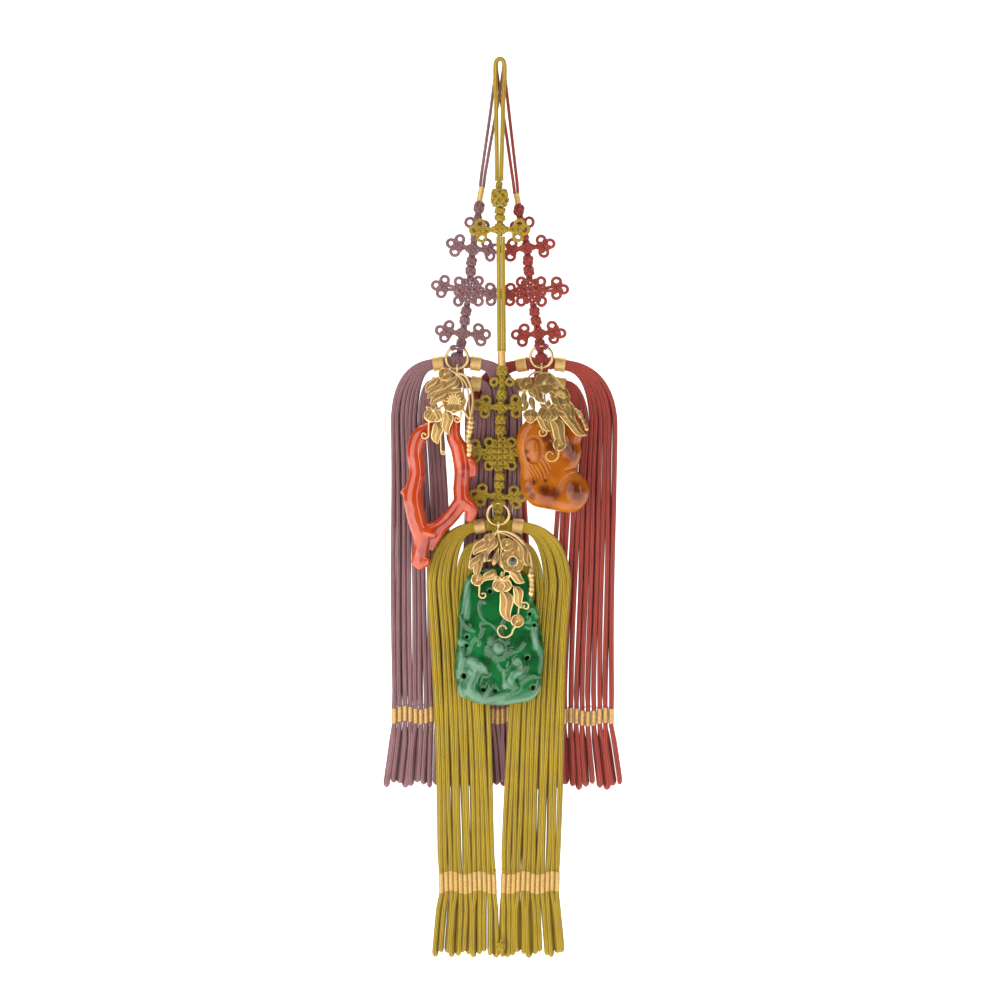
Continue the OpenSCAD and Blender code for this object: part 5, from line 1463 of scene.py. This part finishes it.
    def hook(self, strand):
        """Loop round the bottom of the ring's wire, and the neck that leads from it to the relief."""
        x, z = RINGS[strand]
        low = Vector((x, DEPTHS[strand] - RING_FORWARD, z - RING_R))
        turn = [low + Vector((0.12 * math.sin(a / 2), HOOK_MAJOR * math.cos(a), HOOK_MAJOR * math.sin(a)))
                for a in (2 * math.pi * k / 20 for k in range(20))]
        self.wires.append(turn + [turn[0].copy()])
        self.radii.append([HOOK_R] * 21)
        foot = self.at(low.x, low.z - HOOK_MAJOR - 1.2, 0.6)
        neck = even([low + Vector((0, -0.7, -0.7)) * HOOK_MAJOR, foot, foot + Vector((0, 0.1, -0.8))], 0.4)
        self.wires.append(neck)
        self.radii.append([HOOK_R] * len(neck))
        self.cast.append(bead(foot, 0.75))

    def twig(self, rows):
        """Knobbly twig with the rough skin of a casting; rows hold x, z and radius."""
        route, radii = limb([(x, z, radius, 0) for x, z, radius in rows], 0)
        for point in route:
            point.y = self.at(point.x, point.z, 0.9).y
        radii = [radius * (1 + 0.16 * math.sin(2.1 * k)) for k, radius in enumerate(radii)]
        stick = tubes("twig", [route], 1.0, roundness=6, swell=[radii])
        roughen(stick, 0.55, 1.1)
        self.cast.append(stick)

    def finish(self, name, material, slot, body, node):
        """Makes the cap's piece, with an attribute that is dark in its hollows, for painted shade there."""
        self.cast.insert(0, tubes(name, self.wires, 1.0, swell=self.radii))
        cap = joined(name, self.cast)
        select_only(cap)
        dirt = cap.data.color_attributes.new("dirt", "BYTE_COLOR", "CORNER")
        cap.data.color_attributes.active_color = dirt
        bpy.ops.object.mode_set(mode="VERTEX_PAINT")
        # Painted shade: this darkens the attribute in the cap's hollows and creases, and the gold turns dark
        # there
        bpy.ops.paint.vertex_color_dirt(blur_strength=1, blur_iterations=1)
        bpy.ops.object.mode_set(mode="OBJECT")
        settle(cap, material, slot, body, node)


# Each gold: its light colour, the dark colour of its grain and of the painted shade in its hollows, and its
# roughness
BRIGHT_GOLD = gold("cast gold", paint(255, 226, 160), paint(142, 94, 42), 0.38)
ANTIQUE_GOLD = gold("antique gold", paint(226, 190, 124), paint(96, 68, 34), 0.42)

cap = Cap((-138, -5.6, -157, CORAL_Y - 4.5))
cap.hook("purple")
cap.wire([(-19.1, -139.4), (-15.6, -140.2), (-12.9, -145), (-11.9, -151.5), (-12.6, -158)], 0.6, 0.8)
cap.wire([(-19.1, -139.6), (-16.2, -142.0), (-14.2, -146.5), (-13.6, -153.0), (-13.4, -158.0)], 0.45, 0.4)
cap.wire([(-19.1, -139.6), (-16.6, -143.5), (-16.2, -150.0), (-17.0, -156.0)], 0.45, 0.4)
cap.wire([(-19.1, -139.6), (-21.5, -138.2), (-25, -139), (-28.5, -145), (-31, -153)], 0.45, 0.4)
cap.wire([(-19.4, -140.0), (-20.6, -146.0), (-24.5, -152.5), (-29.0, -156.5)], 0.5, 0.5)
cap.wire([(-21.5, -150.5), (-24.5, -157.0), (-26.5, -162.0), (-28.4, -165.0)], 0.45, 0.4)
cap.wire([(-17.0, -153.5), (-15.0, -157.5), (-13.0, -160.5)], 0.5, 0.5)
cap.twig([(-12.8, -157.0, 0.9), (-13.0, -161.5, 1.7), (-13.6, -165.5, 1.5), (-14.2, -168.5, 1.1),
          (-13.4, -171.5, 1.5), (-13.8, -175.4, 1.0)])
cap.leaf((-20.9, -142.6), (-32.2, -150.6), 4.0)
cap.leaf((-27.4, -141.2), (-32.6, -148.0), 3.2)
cap.leaf((-19.0, -141.0), (-24.5, -147.5), 3.4)
cap.leaf((-23.9, -155.8), (-22.6, -166.6), 3.4)
cap.leaf((-28.4, -161.4), (-27.4, -170.6), 3.6)
cap.leaf((-24.6, -142.0), (-29.6, -151.6), 3.0)
cap.leaf((-22.8, -146.0), (-30.4, -154.0), 3.4)
cap.leaf((-17.2, -146.4), (-24.6, -149.4), 3.0)
cap.blossom((-20.3, -151.7), 5.4, 8, 0, "seeds")
cap.blossom((-24.4, -139.6), 2.8)
cap.orchid((-29.3, -156.8), 7.4, 5.0)
cap.tendril((-31.4, -158.0), (-33.4, -166.6), 2.0, 20, -300)
cap.tendril((-26.4, -163.0), (-25.0, -174.2), 1.2, 150, 300)
cap.tendril((-17.0, -155.4), (-19.0, -159.6), 1.6, 10, -300)
cap.finish("coral_cast_cap", BRIGHT_GOLD, "cast_gold", "coral_pendant", "coral_cap")

cap = Cap((-138, -4.2, -158.5, amber_front - 2.3))
cap.hook("red")
cap.wire([(18.4, -139.2), (22.4, -139.6), (26.2, -143.6), (28.6, -147.6), (30.8, -152.2), (33.4, -156.8)],
         0.6, 0.6)
cap.wire([(18.4, -139.4), (22.2, -141.6), (25.6, -145.4), (29.6, -152.0)], 0.45, 0.4)
cap.wire([(21.6, -140.6), (17.6, -138.6), (13.8, -139.6), (11.8, -143.0), (10.9, -149.0)], 0.45, 0.4)
cap.wire([(18.6, -139.6), (19.6, -145.0), (19.8, -151.0), (21.3, -155.6), (23.4, -160.0), (26.0, -166.0)],
         0.5, 0.4)
cap.wire([(26.6, -149.8), (24.6, -154.6), (21.3, -156.0), (16.0, -157.6), (13.2, -156.0)], 0.5, 0.4)
cap.wire([(24.0, -155.4), (28.0, -159.4), (33.0, -161.6)], 0.45, 0.4)
cap.wire([(19.9, -151.4), (16.0, -149.4), (12.4, -147.2)], 0.45, 0.4)
cap.wire([(16.8, -156.8), (18.0, -160.0), (20.6, -162.6)], 0.45, 0.35)
cap.twig([(33.0, -155.6, 0.9), (35.0, -157.6, 1.3), (36.6, -160.4, 1.0), (38.0, -163.8, 1.1)])
cap.leaf((13.6, -155.4), (13.4, -161.6), 5.0, veins=5, bend=0)
cap.leaf((16.4, -158.2), (22.6, -164.8), 3.4)
cap.leaf((22.4, -159.4), (29.6, -171.4), 4.4)
cap.leaf((24.4, -155.6), (34.8, -162.0), 3.6)
cap.leaf((28.2, -160.0), (38.2, -166.8), 3.2)
cap.leaf((21.8, -146.8), (29.8, -156.4), 3.8)
cap.leaf((14.6, -145.2), (19.4, -152.4), 3.4)
cap.leaf((28.8, -152.4), (33.6, -161.0), 3.0)
cap.pod((19.0, -150.8), (12.6, -146.8), 1.6)
cap.pod((11.0, -156.0), (10.5, -147.6), 1.3)
cap.pod((15.6, -157.2), (13.4, -149.8), 1.4)
cap.blossom((26.6, -149.8), 4.4, 8, 0, "seeds")
cap.blossom((19.8, -143.6), 5.0, 5, 60, shape=pointed_width)
cap.blossom((11.6, -144.0), 2.8)
cap.orchid((21.4, -155.6), 7.6, 5.6)
cap.blossom((26.2, -170.8), 2.7)
cap.tendril((21.4, -160.4), (18.6, -165.4), 2.0, -10, -290)
cap.tendril((26.2, -171.4), (22.4, -175.4), 3.5, 10, -290)
cap.finish("amber_cast_cap", ANTIQUE_GOLD, "antique_gold", "amber_pendant", "amber_cap")

cap = Cap((-208, -9.6, -228, jade_front - 2.7))
cap.hook("olive")
cap.wire([(-0.8, -209.2), (3.6, -209.6), (9.0, -213.0), (13.0, -218.5), (14.4, -226.0)], 0.6, 0.8)
cap.wire([(-0.8, -209.4), (4.0, -211.2), (8.4, -214.4), (11.4, -218.6), (12.8, -224.0)], 0.4, 0.35)
cap.wire([(-0.8, -209.4), (-4.9, -211.2), (-10, -214.6), (-12.6, -218.4), (-13.8, -225.4)], 0.5, 0.4)
cap.wire([(-0.8, -209.4), (0.2, -214.0), (3.0, -219.0), (5.6, -222.3)], 0.5, 0.5)
cap.wire([(-2.0, -210.4), (-6.0, -216.0), (-9.6, -222.0), (-10.6, -229.0)], 0.45, 0.4)
cap.wire([(4.6, -222.0), (2.0, -227.0), (0.9, -231.6), (1.6, -238.0)], 0.5, 0.4)
cap.wire([(3.0, -232.0), (7.2, -234.4), (8.6, -239.0), (7.9, -246.4)], 0.4, 0.35)
cap.wire([(7.6, -221.0), (11.4, -222.0), (14.0, -225.0)], 0.45, 0.5)
cap.wire([(-10.0, -223.0), (-5.0, -222.0), (0.8, -221.0)], 0.45, 0.45)
cap.twig([(14.2, -224.6, 1.0), (13.6, -228.6, 1.5), (14.0, -231.6, 1.1), (13.6, -236.8, 1.2)])
cap.leaf((-5.4, -212.2), (-11.6, -219.6), 3.6)
cap.leaf((-8.4, -219.6), (-13.2, -226.0), 3.2)
cap.leaf((-10.6, -221.0), (-9.2, -229.4), 2.8)
cap.leaf((0.9, -235.4), (4.6, -249.0), 4.6)
cap.leaf((6.4, -233.4), (9.8, -243.0), 3.2)
cap.leaf((8.6, -214.8), (12.4, -224.4), 3.2)
cap.leaf((-2.4, -211.8), (-5.2, -219.4), 2.8)
cap.leaf((4.4, -227.0), (10.8, -231.6), 3.4)
cap.leaf((-2.0, -226.4), (-7.6, -231.2), 3.0)
cap.pod((-0.6, -216.6), (-3.0, -224.0), 1.4)
cap.pod((0.4, -216.6), (0.8, -225.0), 1.3)
cap.pod((-5.6, -216.0), (-7.0, -222.6), 1.3)
cap.blossom((5.6, -222.3), 5.4, 8, 0, "bezel")
cap.blossom((-4.7, -212.8), 2.5)
cap.blossom((3.1, -215.0), 2.7)
cap.blossom((-10.0, -230.4), 2.6)
cap.blossom((7.7, -248.6), 2.7)
cap.orchid((0.9, -231.4), 7.0, 5.2)
cap.tendril((-9.0, -231.6), (-7.4, -237.0), 2.0, 150, 290)
cap.tendril((8.2, -239.0), (11.2, -242.2), 1.9, 120, -290)
cap.tendril((7.6, -250.0), (1.6, -252.4), 4.2, 0, -290)
smoky_stone = pebble(cap.at(5.6, -222.3, -0.95), (1.7, 0.45, 1.7))
smoky_stone.name = "jade_cap_smoky_stone"
bpy.ops.object.shade_smooth()
smoky_stone.data.materials.append(polished(
    "smoky stone", paint(40, 42, 42), paint(92, 92, 86), paint(20, 20, 20), dark_part=0.0, scale=300,
    roughness=0.15, coat=1.0, glow=0.0, glow_reach=(0.001, 0.001, 0.001)))
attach(smoky_stone, "jade_pendant")
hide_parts("jade_cap")
cap.finish("jade_cast_cap", BRIGHT_GOLD, "cast_gold", "jade_pendant", "jade_cap")
